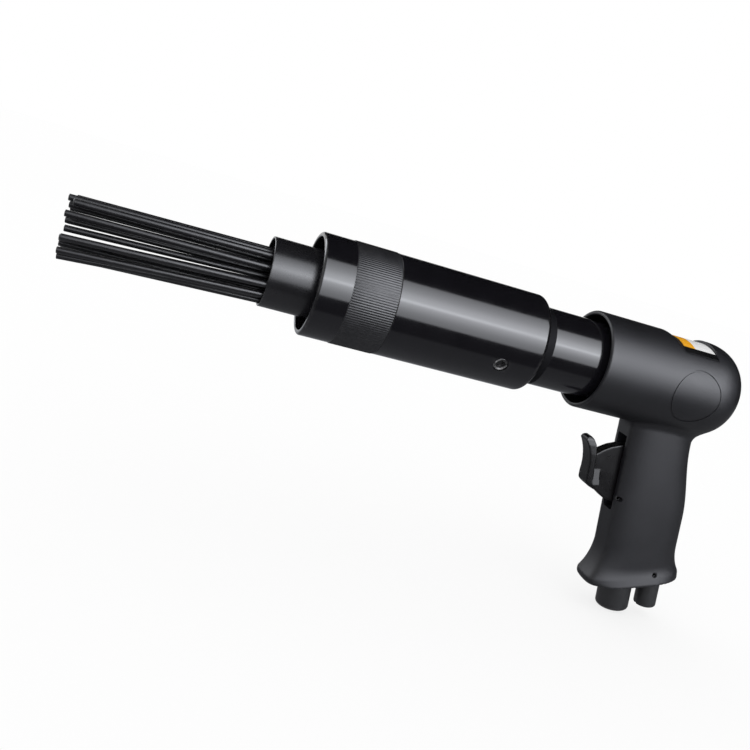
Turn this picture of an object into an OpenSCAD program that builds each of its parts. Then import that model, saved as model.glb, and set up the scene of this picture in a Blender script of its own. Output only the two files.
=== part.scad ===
// Pistol-grip needle scaler, driven by compressed air.
// The tool's axis is X: the needles point to -X, the grip hangs down along -Z.
// The origin lies on that axis, halfway along the sleeve. Sizes are in millimetres.

/* [Sleeve and cap] */
// Outer radius of the sleeve and of the cap
sleeve_r = 25; // [24:0.5:28]
// Length of the sleeve from the cap's seam to its rear end
sleeve_len = 78.9; // [73:0.1:91]
// Wall of the sleeve around the needle holder
sleeve_wall = 3.4; // [2.5:0.1:3.6]
// Rounding of the sleeve's rear edge
sleeve_edge_r = 2.9; // [1:0.1:4.5]
// Length of the knurled cap from its front rim to the seam
cap_len = 37.6; // [34:0.2:44]
// Wall of the cap's front rim
cap_rim = 2.4; // [1.5:0.1:3]
// Depth of the recess in the cap's face
cap_recess = 17; // [12:0.5:18]
// Thickness of the cap's web that holds the nose tube's flange
cap_web = 8.4; // [5:0.2:9]
// Rounding of the cap's front edge
cap_edge_r = 1.2; // [0.5:0.1:1.4]
// Length of the knurled band, which ends at the seam
knurl_len = 22.2; // [14:0.2:26]
// Height of the knurl's ridges above the cap
knurl_height = 0.2; // [0.1:0.05:0.2]
// Depth of the knurl's grooves below the cap
knurl_depth = 0.35; // [0.2:0.05:0.6]
// Number of ridges round the knurl
knurl_count = 132; // [90:2:150]
// Length of the cap's threaded spigot inside the sleeve
spigot_len = 11; // [8:0.5:13]
// Radius of the sleeve's set screw
set_screw_r = 3.6; // [2:0.1:3.8]
// Place of the set screw along the barrel's seat in the sleeve, as a share from its front end
set_screw_place = 0.371; // [0.3:0.001:0.7]
// Angle of the set screw below the horizontal, on the left side
set_screw_angle = 26.6; // [0:0.1:60]

/* [Nose and needles] */
// Outer radius of the nose tube
nose_r = 16.6; // [16.4:0.1:17.4]
// Wall of the nose tube
nose_wall = 1; // [0.8:0.1:1.3]
// Length of the nose tube in front of the cap
nose_free_len = 21.1; // [10:0.1:40]
// Length of the nose tube's rear flange
nose_flange = 4; // [3:0.5:6]
// Needle diameter
needle_d = 3; // [2:0.1:3.1]
// Length of needle in front of the nose tube
needle_free_len = 90; // [60:1:110]
// Spread of the tips, from the shortest needle to the longest
tip_stagger = 3; // [0:0.5:5]
// Spacing of the needles at the holder
holder_pitch = 5.6; // [5.2:0.05:5.7]
// Turn of the needle pattern about the axis
needle_turn = 7.7; // [0:0.1:15]
// Distance by which the loose needles hang down at the nose tube's mouth
needle_hang = 1.75; // [0:0.05:1.8]
// Diameter of a needle's head
needle_head_d = 4.6; // [4.2:0.1:4.8]
// Length of a needle's head
needle_head = 3; // [2:0.1:4]
// Thickness of the needle holder
holder_len = 12; // [8:0.5:12.5]
// Length of the needle spring as fitted
needle_spring_len = 27.4; // [22:0.2:32]
// Wire diameter of the needle spring
needle_spring_wire = 2.4; // [1.5:0.1:2.6]
// Turns of the needle spring
needle_spring_turns = 4.5; // [3:0.5:6]

/* [Barrel and hammer] */
// Wall of the sleeve around the barrel
barrel_seat_wall = 4.75; // [4:0.05:6]
// Length of barrel that shows between sleeve and housing
barrel_show = 33.3; // [20:0.1:60]
// Length of barrel screwed into the housing
barrel_thread = 30.6; // [24:0.2:34]
// Wall of the barrel round the hammer's bore
barrel_wall = 8.7; // [7:0.1:10]
// Length of the piston
piston_len = 34; // [26:0.5:40]
// Radius of the anvil's shank
shank_r = 8; // [6:0.1:9]
// Length of the anvil's shank
shank_len = 26.3; // [24:0.1:30]
// Length of the anvil's head
anvil_head = 12; // [8:0.5:13]
// Radius of the exhaust ports in the barrel
port_r = 2.5; // [1.5:0.1:3]
// Number of exhaust ports
port_count = 6; // [4:1:8]
// Length of the valve cover
valve_cover_len = 5; // [4:0.5:7]
// Length of the valve case
valve_case_len = 14; // [10:0.5:15]
// Thickness of the valve disc
valve_disc_t = 1.4; // [1:0.1:1.6]
// Travel of the valve disc
valve_travel = 1.2; // [0.6:0.1:1.4]

/* [Housing] */
// Width of the ring-shaped exhaust gap between barrel and housing
exhaust_gap = 3.4; // [2:0.1:5]
// Length from the housing's mouth to the start of its round end
housing_len = 65.1; // [63:0.1:80]
// Length of the housing's round end
dome_len = 24.5; // [22:0.1:30]
// Power of the round end's curve; 2 makes it an ellipse
dome_power = 2.4; // [2:0.05:2.6]
// Wall of the housing's mouth
mouth_wall = 2.15; // [1.5:0.05:3]
// Depth of the exhaust mouth
mouth_depth = 18; // [12:0.5:24]
// Rounding of the mouth's edge
mouth_edge_r = 1.1; // [0.5:0.1:2]
// Depth of the label's recess in the top
recess_depth = 1.7; // [1:0.1:3.6]
// Radius of the recess's floor across the tool
recess_r = 31.6; // [28:0.1:60]
// Length of the recess's floor
recess_len = 20.5; // [12:0.5:24]
// Length of the slope in front of the recess
recess_slope = 6.5; // [5:0.5:14]
// Distance of the recess's rear end in front of the round end
recess_back = 0.5; // [0:0.1:6]
// Thickness of the label
label_t = 0.25; // [0.1:0.05:0.5]

/* [Grip] */
// Distance of the grip's reference line behind the housing's mouth
grip_back = 50.2; // [46:0.1:56]
// Rake of the grip
grip_rake = 10.5; // [6:0.1:14]
// Reach of the grip's front from its reference line
grip_front = 20.2; // [18:0.1:22]
// Reach of the grip's rear from its reference line
grip_rear = 25.5; // [24:0.1:28]
// Hollow in the rear of the grip for the hand's web
web_hollow = 5.3; // [0:0.1:6]
// Half the width of the grip
grip_half = 13; // [11.5:0.1:16]
// Length of the grip from the tool's axis to the lip's lower face
grip_len = 115.5; // [112:0.5:130]
// Flare of the lip beyond the grip's front
lip_front = 7.8; // [2:0.1:10]
// Flare of the lip beyond the grip's rear
lip_rear = 4.6; // [1:0.1:7]
// Flare of the lip at each side
lip_side = 2; // [1:0.1:4]
// Height over which the lip flares
lip_height = 22; // [14:0.5:26]
// Tilt of the lip's lower face, with its front low
lip_tilt = 5.2; // [0:0.2:6]

/* [Trigger and throttle] */
// Width of the trigger's slot
slot_w = 9; // [8:0.1:10]
// Depth of the trigger's slot
slot_depth = 11.8; // [10:0.1:13]
// Distance of the slot's upper end from the tool's axis
slot_top = 31; // [28:0.5:34]
// Distance of the trigger pin from the tool's axis
pivot_drop = 65.8; // [60:0.1:67]
// Distance of the trigger pin behind the grip's front
pivot_in = 2.4; // [2.2:0.1:4]
// Radius of the trigger pin
trigger_pin_r = 1.25; // [1:0.05:1.5]
// Width of the trigger's finger pad
pad_w = 10; // [8:0.5:16]
// Reach of the finger pad in front of the grip
pad_reach = 17.4; // [14:0.2:22]
// Thickness of the finger pad
pad_t = 3.3; // [2.5:0.1:4.5]
// Side clearance of the trigger's web in its slot
web_gap = 0.5; // [0.3:0.1:1]
// Distance of the throttle's axis from the tool's axis
throttle_drop = 47; // [44:0.5:50]
// Radius of the throttle's bore
throttle_r = 4.3; // [3.8:0.1:4.4]
// Radius of the throttle stem
stem_r = 1.6; // [1:0.1:2]
// Length of the throttle bushing
throttle_bush = 5; // [4:0.5:6]
// Length of the throttle's chamber behind the bushing
throttle_room = 15; // [12:0.5:18]
// Wire diameter of the throttle spring
throttle_spring_wire = 0.7; // [0.5:0.05:0.8]
// Turns of the throttle spring
throttle_spring_turns = 6; // [4:0.5:7]

/* [Air inlet and regulator] */
// Radius of the inlet bushing where it shows
inlet_r = 9.2; // [8.6:0.1:10]
// Length of the inlet bushing below the lip
inlet_free_len = 18.2; // [12:0.1:26]
// Distance of the inlet's axis in front of the grip's reference line
inlet_fore = 4.5; // [4:0.1:5]
// Radius of the inlet's threaded hole
inlet_bore_r = 5.72; // [5:0.01:6]
// Depth of the inlet's threaded hole
inlet_bore_len = 15; // [10:0.5:18]
// Radius of the inlet's shank in the grip
inlet_shank_r = 7.9; // [7.2:0.1:8.2]
// Length of the inlet's shank in the grip
inlet_shank = 17; // [12:0.5:22]
// Thickness of the inlet's sealing washer
washer_t = 1; // [0.6:0.1:1.5]
// Radius of the regulator's stem
regulator_r = 6.2; // [5.4:0.1:6.4]
// Length of the regulator below the lip
regulator_free_len = 18; // [10:0.1:26]
// Distance of the regulator's axis behind the grip's reference line
regulator_aft = 16.6; // [16:0.1:17]
// Length of the regulator's stem in the grip
regulator_shank = 29; // [24:0.5:34]
// Radius of the regulator's retaining pin
regulator_pin_r = 1.5; // [1:0.05:1.8]
// Distance of the retaining pin above the lip's lower face
regulator_pin_up = 7; // [5:0.1:9]

/* [Clearances] */
// Radial clearance of parts that slide or turn in each other
run_gap = 0.05; // [0.02:0.01:0.1]
// Radial clearance of threaded and seated parts
seat_gap = 0.05; // [0.02:0.01:0.1]
// Clearance between parts that only come near each other
free_gap = 0.3; // [0.2:0.05:0.4]

/* [Hidden] */
$fn = 96;

// Places along the tool's axis, from front to rear
sleeve_tail = 1.3;
sleeve_front = -(sleeve_len - sleeve_tail) / 2;
sleeve_rear = sleeve_front + sleeve_len;
cap_front = sleeve_front - cap_len;
nose_front = cap_front - nose_free_len;
tip_x = nose_front - needle_free_len;
cap_web_rear = cap_front + cap_recess + cap_web;
nose_rear = cap_web_rear + nose_flange;
spigot_rear = sleeve_front + spigot_len;
holder_front = nose_rear + needle_spring_len;
holder_rear = holder_front + holder_len;
anvil_front = holder_rear + needle_head + free_gap;
anvil_rear = anvil_front + anvil_head;
barrel_front = anvil_rear + free_gap;
housing_front = sleeve_rear + barrel_show;
mouth_floor = housing_front + mouth_depth;
barrel_rear = mouth_floor + barrel_thread;
valve_front = barrel_rear + valve_cover_len;
valve_rear = valve_front + valve_case_len;
dome_x = housing_front + housing_len;
shank_show = 4.3;
bush_len = shank_len - shank_show;
piston_room = 1;
piston_rear = barrel_rear - piston_room;

// Radii that follow from the sizes above
barrel_r = sleeve_r - barrel_seat_wall - seat_gap;
bore_r = barrel_r - barrel_wall;
housing_r = barrel_r + exhaust_gap + mouth_wall;
sleeve_bore_r = sleeve_r - sleeve_wall;
spigot_r = sleeve_bore_r - seat_gap;
spigot_wall = 1.5;
spigot_bore_r = spigot_r - spigot_wall;
holder_r = sleeve_bore_r - run_gap;
nose_bore_r = nose_r - nose_wall;
mouth_pitch = (nose_bore_r - needle_d / 2 - needle_hang - seat_gap) / 2;
// Gap between neighbours at the mouth that leaves the needles room for their full lean
lean_gap = 3.15;
lean_share = min(1, max(0, mouth_pitch - needle_d) / lean_gap);
barrel_seat_r = barrel_r + seat_gap;
mouth_r = housing_r - mouth_wall;
valve_shoulder = 1.7;
valve_room_r = barrel_r - valve_shoulder;
valve_r = valve_room_r - seat_gap;
valve_disc_r = bore_r - 1;
valve_hole_r = 3;
valve_port_r = 1.6;
bush_wall = 3.5;
bush_r = bore_r + bush_wall;
needle_spring_r = spigot_bore_r - free_gap - needle_spring_wire / 2;

// Needles: ring number and place in the ring for each needle of a hexagonal bundle
needle_places = [
    for (ring = [0 : 2])
        for (side = [0 : ring == 0 ? 0 : 5])
            for (step = [0 : max(ring - 1, 0)])
                [ring, side, step]
];

// Each loose needle's own lean at the nose tube's mouth, sideways and up, and the share of the
// stagger by which its tip steps back
needle_leans = [
    [-1.43, -0.59, 0.32],
    [-2.87, 0.59, 0.11],
    [1.15, 1.14, 0.08],
    [0.52, -0.12, 1],
    [0.34, -2.09, 0],
    [-2.41, -3.37, 0.15],
    [-0.66, -1.36, 0.6],
    [0.12, -0.74, 0.06],
    [2.64, -0.41, 0],
    [1.81, -0.41, 0.8],
    [0.32, 0.27, 0],
    [-0.06, 0.36, 1],
    [0.66, 0.79, 0.22],
    [-0.96, -0.88, 0.43],
    [-1.02, -1.4, 0.18],
    [1.77, -0.42, 0.51],
    [-1.39, 1.68, 0],
    [-0.37, 0.41, 0.06],
    [0.7, -1.77, 0.97]
];

// Place of a needle across the axis, for a spacing of 1
function hex_place(i) =
    let (
        p = needle_places[i],
        a = p[1] * 60 + needle_turn,
        along = p[0] - p[2]
    )
    [
        along * cos(a) + p[2] * cos(a + 60),
        along * sin(a) + p[2] * sin(a + 60)
    ];

function tip_back(i) = tip_stagger * needle_leans[i][2];

// Rake of the grip: a frame whose x runs rearwards across the grip and whose z runs up along it
module grip_frame() {
    translate([housing_front + grip_back, 0, 0])
        rotate([0, -grip_rake, 0])
            children();
}

pivot_x = -grip_front + pivot_in;
// Height of the finger pad's lower corner above the pivot
pad_rise = 8;
slot_floor = -grip_front + slot_depth;
web_half = slot_w / 2 - web_gap;
web_back = slot_floor - 4.5;
bush_front = slot_floor;
bush_rear = bush_front + throttle_bush;
stem_front = web_back + free_gap;
seal_wire = 1;
head_front = bush_rear + seal_wire;
head_len = 3;
throttle_end = bush_rear + throttle_room;
regulator_pin_x = regulator_aft - regulator_r - 0.35;
regulator_groove_r = regulator_aft - regulator_pin_x - regulator_pin_r - 0.2;
passage_r = 3.4;
bleed_r = 2;
bleed_drop = 4;
ring_drop = 10.2;
ring_groove = 1.6;
ring_depth = 1.2;

// A round bar along the tool's axis
module bar(from, to, r) {
    translate([from, 0, 0])
        rotate([0, 90, 0])
            cylinder(h = to - from, r = r);
}

// A tube along the tool's axis
module tube(from, to, r, bore) {
    difference() {
        bar(from, to, r);
        bar(from - 1, to + 1, bore);
    }
}

// The ring that a rounding takes off an outer edge; dir is 1 for a rear edge and -1 for a front edge
module edge_round(x, r, round, dir) {
    translate([x, 0, 0])
        rotate([0, dir * 90, 0])
            rotate_extrude()
                difference() {
                    translate([r - round, -round])
                        square([round + 1, round + 1]);
                    translate([r - round, -round])
                        circle(r = round);
                }
}

// Points of a helix of round wire along z, with its ends inside the given length
function helix_point(i, steps, r, wire, length, turns) =
    let (a = 360 * turns * i / steps)
    [r * cos(a), r * sin(a), wire / 2 + (length - wire) * i / steps];

function helix_ring(i, steps, r, wire, length, turns, sides) =
    let (
        a = 360 * turns * i / steps,
        c = helix_point(i, steps, r, wire, length, turns)
    )
    [
        for (k = [0 : sides - 1])
            let (b = 360 * k / sides)
            c + wire / 2 * [cos(b) * cos(a), cos(b) * sin(a), sin(b)]
    ];

// Least gap between turns of the helix, measured on its points
function helix_gap(steps, r, wire, length, turns) =
    let (per_turn = steps / turns)
    min([
        for (i = [0 : steps], j = [0 : steps])
            if (j - i > per_turn / 2)
                norm(helix_point(i, steps, r, wire, length, turns)
                    - helix_point(j, steps, r, wire, length, turns)) - wire
    ]);

// A coil spring of round wire along z
module coil(r, wire, length, turns) {
    sides = 6;
    steps = ceil(turns * 20);
    points = [
        for (i = [0 : steps])
            each helix_ring(i, steps, r, wire, length, turns, sides)
    ];
    side_faces = [
        for (i = [0 : steps - 1], k = [0 : sides - 1])
            let (
                a = i * sides + k,
                b = i * sides + (k + 1) % sides
            )
            each [[a, a + sides, b], [b, a + sides, b + sides]]
    ];
    first_cap = [for (k = [1 : sides - 2]) [0, k, k + 1]];
    last = steps * sides;
    last_cap = [for (k = [1 : sides - 2]) [last, last + k + 1, last + k]];
    polyhedron(points = points, faces = concat(side_faces, first_cap, last_cap));
    echo("least gap between turns", helix_gap(steps, r, wire, length, turns));
}

// Front end: needles, holder, spring, nose tube and knurled cap

// Slope of a needle from the holder to its tip, as sideways move per millimetre forward
function needle_slope(i) =
    let (
        reach = holder_rear - nose_front,
        c = hex_place(i) * (mouth_pitch - holder_pitch),
        lean = needle_leans[i] * lean_share
    )
    [(c[0] + lean[0]) / reach, (c[1] + lean[1] - needle_hang) / reach];

// Puts a needle's own z axis along it, pointing to the tip, with z = 0 at the holder's rear face
module at_needle(i) {
    c = hex_place(i) * holder_pitch;
    s = needle_slope(i);
    translate([holder_rear, c[0], c[1]])
        rotate([0, 0, -atan(s[0])])
            rotate([0, -90 + atan(s[1] * cos(atan(s[0]))), 0])
                children();
}

module needles() {
    reach = holder_rear - tip_x;
    head_lift = 0.1;
    color("dimgray")
        for (i = [0 : len(needle_places) - 1])
            at_needle(i) {
                translate([0, 0, -needle_head])
                    cylinder(h = needle_head + reach - tip_back(i), d = needle_d, $fn = 24);
                translate([0, 0, -needle_head])
                    cylinder(h = needle_head - head_lift, d = needle_head_d, $fn = 24);
            }
}

module needle_holder() {
    color("gray")
        difference() {
            bar(holder_front, holder_rear, holder_r);
            for (i = [0 : len(needle_places) - 1])
                at_needle(i)
                    translate([0, 0, -1])
                        cylinder(h = holder_len + 2, d = needle_d + 2 * run_gap, $fn = 24);
        }
}

module needle_spring() {
    color("silver")
        translate([nose_rear, 0, 0])
            rotate([0, 90, 0])
                coil(needle_spring_r, needle_spring_wire, holder_front - nose_rear, needle_spring_turns);
}

module nose_tube() {
    color("black")
        difference() {
            union() {
                bar(nose_front, nose_rear, nose_r);
                bar(cap_web_rear, nose_rear, spigot_bore_r - free_gap);
            }
            bar(nose_front - 1, nose_rear + 1, nose_bore_r);
        }
}

// Straight ridges round the cap, as one many-pointed outline
module knurl_band(from, to) {
    translate([from, 0, 0])
        rotate([0, 90, 0])
            linear_extrude(height = to - from)
                polygon([
                    for (i = [0 : 2 * knurl_count - 1])
                        let (r = i % 2 == 0 ? sleeve_r + knurl_height : sleeve_r - knurl_depth)
                        r * [cos(180 * i / knurl_count), sin(180 * i / knurl_count)]
                ]);
}

module front_cap() {
    knurl_front = sleeve_front - knurl_len;
    web_front = cap_front + cap_recess;
    color("black")
        difference() {
            union() {
                bar(cap_front, knurl_front, sleeve_r);
                knurl_band(knurl_front, sleeve_front);
                bar(sleeve_front, spigot_rear, spigot_r);
            }
            bar(cap_front - 1, web_front, sleeve_r - cap_rim);
            bar(web_front - 1, cap_web_rear + 1, nose_r + free_gap);
            bar(cap_web_rear, spigot_rear + 1, spigot_bore_r);
            edge_round(cap_front, sleeve_r, cap_edge_r, -1);
        }
}

// Middle: sleeve, set screw, anvil, barrel and piston

// Puts z along the set screw, pointing outwards from the tool's axis
module at_set_screw() {
    translate([barrel_front + set_screw_place * (sleeve_rear - barrel_front), 0, 0])
        rotate([90 + set_screw_angle, 0, 0])
            children();
}

module sleeve() {
    color("black")
        difference() {
            bar(sleeve_front, sleeve_rear, sleeve_r);
            bar(sleeve_front - 1, barrel_front, sleeve_bore_r);
            bar(barrel_front - 1, sleeve_rear + 1, barrel_seat_r);
            edge_round(sleeve_rear, sleeve_r, sleeve_edge_r, 1);
            at_set_screw()
                cylinder(h = sleeve_r + 1, r = set_screw_r + seat_gap, $fn = 48);
        }
}

module set_screw() {
    screw_sunk = 0.5;
    screw_end = sleeve_r - screw_sunk;
    socket_r = set_screw_r * 0.6;
    socket_depth = 2.5;
    color("dimgray")
        at_set_screw()
            difference() {
                translate([0, 0, barrel_r + seat_gap])
                    cylinder(h = screw_end - barrel_r - seat_gap, r = set_screw_r, $fn = 48);
                translate([0, 0, screw_end - socket_depth])
                    cylinder(h = socket_depth + 1, r = socket_r, $fn = 6);
            }
}

module anvil() {
    color("gray")
        union() {
            bar(anvil_front, anvil_rear, sleeve_bore_r - run_gap);
            bar(anvil_rear - 1, anvil_rear + shank_len, shank_r);
        }
}

module barrel_bush() {
    color("darkgoldenrod")
        tube(barrel_front, barrel_front + bush_len, bush_r - seat_gap, shank_r + run_gap);
}

module barrel() {
    port_x = housing_front + mouth_depth / 2;
    color("black")
        difference() {
            bar(barrel_front, barrel_rear, barrel_r);
            bar(barrel_front - 1, barrel_front + bush_len, bush_r);
            bar(barrel_front, barrel_rear + 1, bore_r);
            for (i = [0 : port_count - 1])
                translate([port_x, 0, 0])
                    rotate([360 * (i + 0.5) / port_count, 0, 0])
                        cylinder(h = barrel_r + 1, r = port_r, $fn = 32);
        }
}

module piston() {
    groove_depth = 0.8;
    groove_w = 2;
    front_land = 6;
    rear_land = 6;
    groove_r = bore_r - groove_depth;
    piston_front = piston_rear - piston_len;
    color("silver")
        difference() {
            bar(piston_front, piston_rear, bore_r - run_gap);
            for (x = [piston_front + front_land, piston_rear - rear_land - groove_w])
                tube(x, x + groove_w, bore_r + 1, groove_r);
        }
}

// Valve behind the barrel

module valve_cover() {
    ring_r = (bore_r + valve_r) / 2;
    color("gray")
        difference() {
            bar(barrel_rear, valve_front, valve_r);
            bar(barrel_rear - 1, valve_front + 1, bore_r / 2);
            for (i = [0 : 5])
                rotate([60 * i, 0, 0])
                    translate([0, ring_r, 0])
                        bar(barrel_rear - 1, valve_front + 1, valve_port_r);
        }
}

module valve_disc() {
    color("silver")
        tube(valve_front + free_gap, valve_front + free_gap + valve_disc_t, valve_disc_r, valve_hole_r);
}

module valve_case() {
    pocket = valve_disc_t + valve_travel + 2 * free_gap;
    color("gray")
        difference() {
            bar(valve_front, valve_rear, valve_r);
            bar(valve_front - 1, valve_front + pocket, valve_disc_r + free_gap);
            bar(valve_front, valve_rear + 1, valve_hole_r - 0.5);
            for (i = [0 : 5])
                rotate([60 * i + 30, 0, 0])
                    translate([0, bore_r / 2, 0])
                        bar(valve_front, valve_rear + 1, valve_port_r);
        }
}

// Housing with its grip

// Shares of a smooth step from 0 to 1
function smooth_step(t) =
    let (s = min(max(t, 0), 1))
    s * s * (3 - 2 * s);

// Shape of the grip across, g millimetres down from the tool's axis
lip_edge = 4.2;
lip_full = grip_len - lip_edge;
hollow_low = 0.63 * grip_len;
function lip_share(g) =
    g > lip_full
        ? 1 - 0.16 * pow((g - lip_full) / (grip_len - lip_full), 2)
        : pow(max(0, (g - grip_len + lip_height) / (lip_full - grip_len + lip_height)), 2);
function hollow_share(g) =
    g < slot_top
        ? 1 - 0.9 * smooth_step((slot_top + 2 - g) / 12)
        : 1 - smooth_step((g - slot_top - 3) / (hollow_low - slot_top));
function tilt_share(g) = smooth_step((g - grip_len + lip_height) / lip_height);
fore_taper = 1;
function taper_share(g) = 1 - smooth_step((g - slot_top / 2) / (pivot_drop - slot_top / 2));
function grip_fore(g) = grip_front - fore_taper * taper_share(g) + lip_front * lip_share(g);
function grip_aft(g) = grip_rear + lip_rear * lip_share(g) - web_hollow * hollow_share(g);
side_flare = 3;
function grip_side(g) = grip_half + lip_side * pow(lip_share(g), side_flare);

// One outline of the grip: a rounded oblong by power curves, its front cut to a narrow flat
rear_power = 3;
front_power = 2.2;
front_full = 1.14;
grip_points = 40;
function power_curve(v, p) = sign(v) * pow(abs(v), 2 / p);
function side_power(x) = x > 0 ? rear_power : front_power;
function side_reach(x, g) = x > 0 ? grip_aft(g) : front_full * grip_fore(g);
function grip_outline(g) =
    [
        for (i = [0 : grip_points - 1])
            let (
                a = 360 * (i + 0.5) / grip_points,
                p = side_power(cos(a)),
                x = max(-grip_fore(g), side_reach(cos(a), g) * power_curve(cos(a), p))
            )
            [x, grip_side(g) * power_curve(sin(a), p), -g + x * tan(lip_tilt) * tilt_share(g)]
    ];

grip_levels = concat(
    [for (g = [12 : 6 : 30]) g],
    [for (i = [0 : 4]) slot_top + 5 + i * 9],
    [grip_len - lip_height - 8],
    [for (i = [0 : 5]) grip_len - lip_height + i * (lip_height - lip_edge) / 5],
    [grip_len - lip_edge / 2, grip_len - 1, grip_len]
);

module grip_solid() {
    levels = len(grip_levels);
    n = grip_points;
    points = [for (g = grip_levels) each grip_outline(g)];
    side_faces = [
        for (i = [0 : levels - 2], k = [0 : n - 1])
            let (
                a = i * n + k,
                b = i * n + (k + 1) % n
            )
            each [[a, b, a + n], [b, b + n, a + n]]
    ];
    top = [for (k = [1 : n - 2]) [0, k + 1, k]];
    last = (levels - 1) * n;
    bottom = [for (k = [1 : n - 2]) [last, last + k, last + k + 1]];
    polyhedron(points = points, faces = concat(side_faces, top, bottom));
}

recess_rear = dome_x - recess_back;
recess_front = recess_rear - recess_len;
recess_axis_z = housing_r - recess_depth - recess_r;

// The hollow that the label lies in, turned about an axis below the tool's own
module label_recess() {
    top = recess_depth + 2;
    slope = [
        for (i = [0 : 8])
            [recess_r + recess_depth * (1 - smooth_step(i / 8)), recess_front - recess_slope * (1 - i / 8)]
    ];
    intersection() {
        translate([0, 0, recess_axis_z])
            rotate([0, 90, 0])
                rotate_extrude()
                    polygon(concat(
                        slope,
                        [
                            [recess_r, recess_rear],
                            [recess_r + top, recess_rear],
                            [recess_r + top, recess_front - recess_slope]
                        ]
                    ));
        translate([recess_front - recess_slope - 1, -housing_r, 0])
            cube([recess_len + recess_slope + 2, 2 * housing_r, 2 * housing_r]);
    }
}

module label() {
    edge = housing_r * 0.66;
    inset = 0.4;
    color("orange")
        intersection() {
            translate([0, 0, recess_axis_z])
                tube(recess_front + inset, recess_rear - inset, recess_r + label_t, recess_r);
            translate([recess_front, -edge, 0])
                cube([recess_len, 2 * edge, 2 * housing_r]);
        }
}

// Puts z along the throttle's axis, pointing rearwards, with z = 0 at the grip's reference line
module at_throttle() {
    grip_frame()
        translate([0, 0, -throttle_drop])
            rotate([0, 90, 0])
                children();
}

// Puts z up along the inlet or the regulator, with z = 0 at the lip's lower face
module at_lip(x) {
    grip_frame()
        translate([x, 0, -grip_len])
            children();
}

// A bar across the grip from side to side
module cross_bar(x, drop, r, half) {
    grip_frame()
        translate([x, half, -drop])
            rotate([90, 0, 0])
                cylinder(h = 2 * half, r = r, $fn = 48);
}

// Half the grip's width x millimetres behind its reference line
function side_at(x, g) =
    let (p = side_power(x))
    grip_side(g) * pow(1 - pow(abs(x) / side_reach(x, g), p), 1 / p);

module trigger_slot() {
    slot_below = 8.2;
    slot_low = pivot_drop + slot_below;
    reach = slot_depth + grip_front;
    grip_frame()
        union() {
            translate([slot_floor - reach, -slot_w / 2, -slot_low + slot_w / 2])
                cube([reach, slot_w, slot_low - slot_w / 2 - slot_top]);
            translate([slot_floor - reach, 0, -slot_low + slot_w / 2])
                rotate([0, 90, 0])
                    cylinder(h = reach, r = slot_w / 2, $fn = 48);
        }
}

// The housing's barrel end and its round rear end
module housing_body() {
    steps = 16;
    dome = [
        for (i = [0 : steps])
            let (a = 90 * i / steps)
            [
                housing_r * pow(max(cos(a), 0), 2 / dome_power),
                dome_x + dome_len * pow(sin(a), 2 / dome_power)
            ]
    ];
    rotate([0, 90, 0])
        rotate_extrude()
            polygon(concat([[0, housing_front], [housing_r, housing_front]], dome));
}

module gun_housing() {
    passage_edge = 0.6;
    feed_r = 1.8;
    spot_face_r = inlet_r + 0.4;
    passage_x = -inlet_fore + inlet_shank_r - passage_r - passage_edge;
    regulator_top = regulator_shank + 1;
    color("dimgray")
        difference() {
            union() {
                housing_body();
                grip_frame()
                    grip_solid();
            }
            bar(housing_front - 1, mouth_floor, mouth_r);
            bar(mouth_floor - 1, barrel_rear, barrel_seat_r);
            bar(barrel_rear - 1, valve_rear, valve_room_r);
            edge_round(housing_front, housing_r, mouth_edge_r, -1);
            label_recess();
            trigger_slot();
            at_throttle()
                translate([0, 0, slot_floor - 0.5])
                    cylinder(h = throttle_end - slot_floor + 0.5, r = throttle_r + seat_gap);
            at_lip(-inlet_fore)
                translate([0, 0, -1])
                    cylinder(h = inlet_shank + 2, r = inlet_shank_r + seat_gap);
            at_lip(-inlet_fore)
                translate([0, 0, -4])
                    cylinder(h = 4, r = spot_face_r);
            at_lip(passage_x)
                translate([0, 0, inlet_shank])
                    cylinder(h = grip_len - inlet_shank - throttle_drop, r = passage_r, $fn = 48);
            at_lip(slot_floor + throttle_bush / 2 + 1)
                translate([0, 0, grip_len - throttle_drop])
                    cylinder(h = throttle_drop - valve_room_r + 6, r = feed_r, $fn = 32);
            at_lip(regulator_aft)
                translate([0, 0, -1])
                    cylinder(h = regulator_top + 1, r = regulator_r + run_gap);
            at_lip(0)
                translate([passage_x, 0, regulator_shank - bleed_drop])
                    rotate([0, 90, 0])
                        cylinder(h = regulator_aft - passage_x, r = bleed_r, $fn = 32);
            cross_bar(pivot_x, pivot_drop, trigger_pin_r + seat_gap, grip_half + 2);
            cross_bar(regulator_pin_x, grip_len - regulator_pin_up, regulator_pin_r + seat_gap,
                grip_half + lip_side + 2);
        }
}

// Trigger and throttle

// The finger pad's outline from the side: a hollow front that follows an arc, and its back
module pad_outline() {
    front = -grip_front - pad_reach;
    top = slot_top + 2.5;
    low = pivot_drop - pad_rise;
    hollow = 1.8;
    horn_lean = 1.8;
    arc = [
        for (i = [0 : 8])
            let (s = i / 8)
            [front - horn_lean * (1 - s) + hollow * (1 - pow(2 * s - 1, 2)), -top - 2 - s * (low - top - 2)]
    ];
    polygon(concat(
        [[front - horn_lean + 1.4, -top]],
        arc,
        [
            [front + 2.5, -low - 2.2],
            [front + 7, -low - 4.6],
            [front + 7, -low + 2],
            [front + 1 + pad_t, -low + 4],
            [front + pad_t, -top - 8],
            [front - horn_lean + pad_t, -top - 1]
        ]
    ));
}

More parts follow.
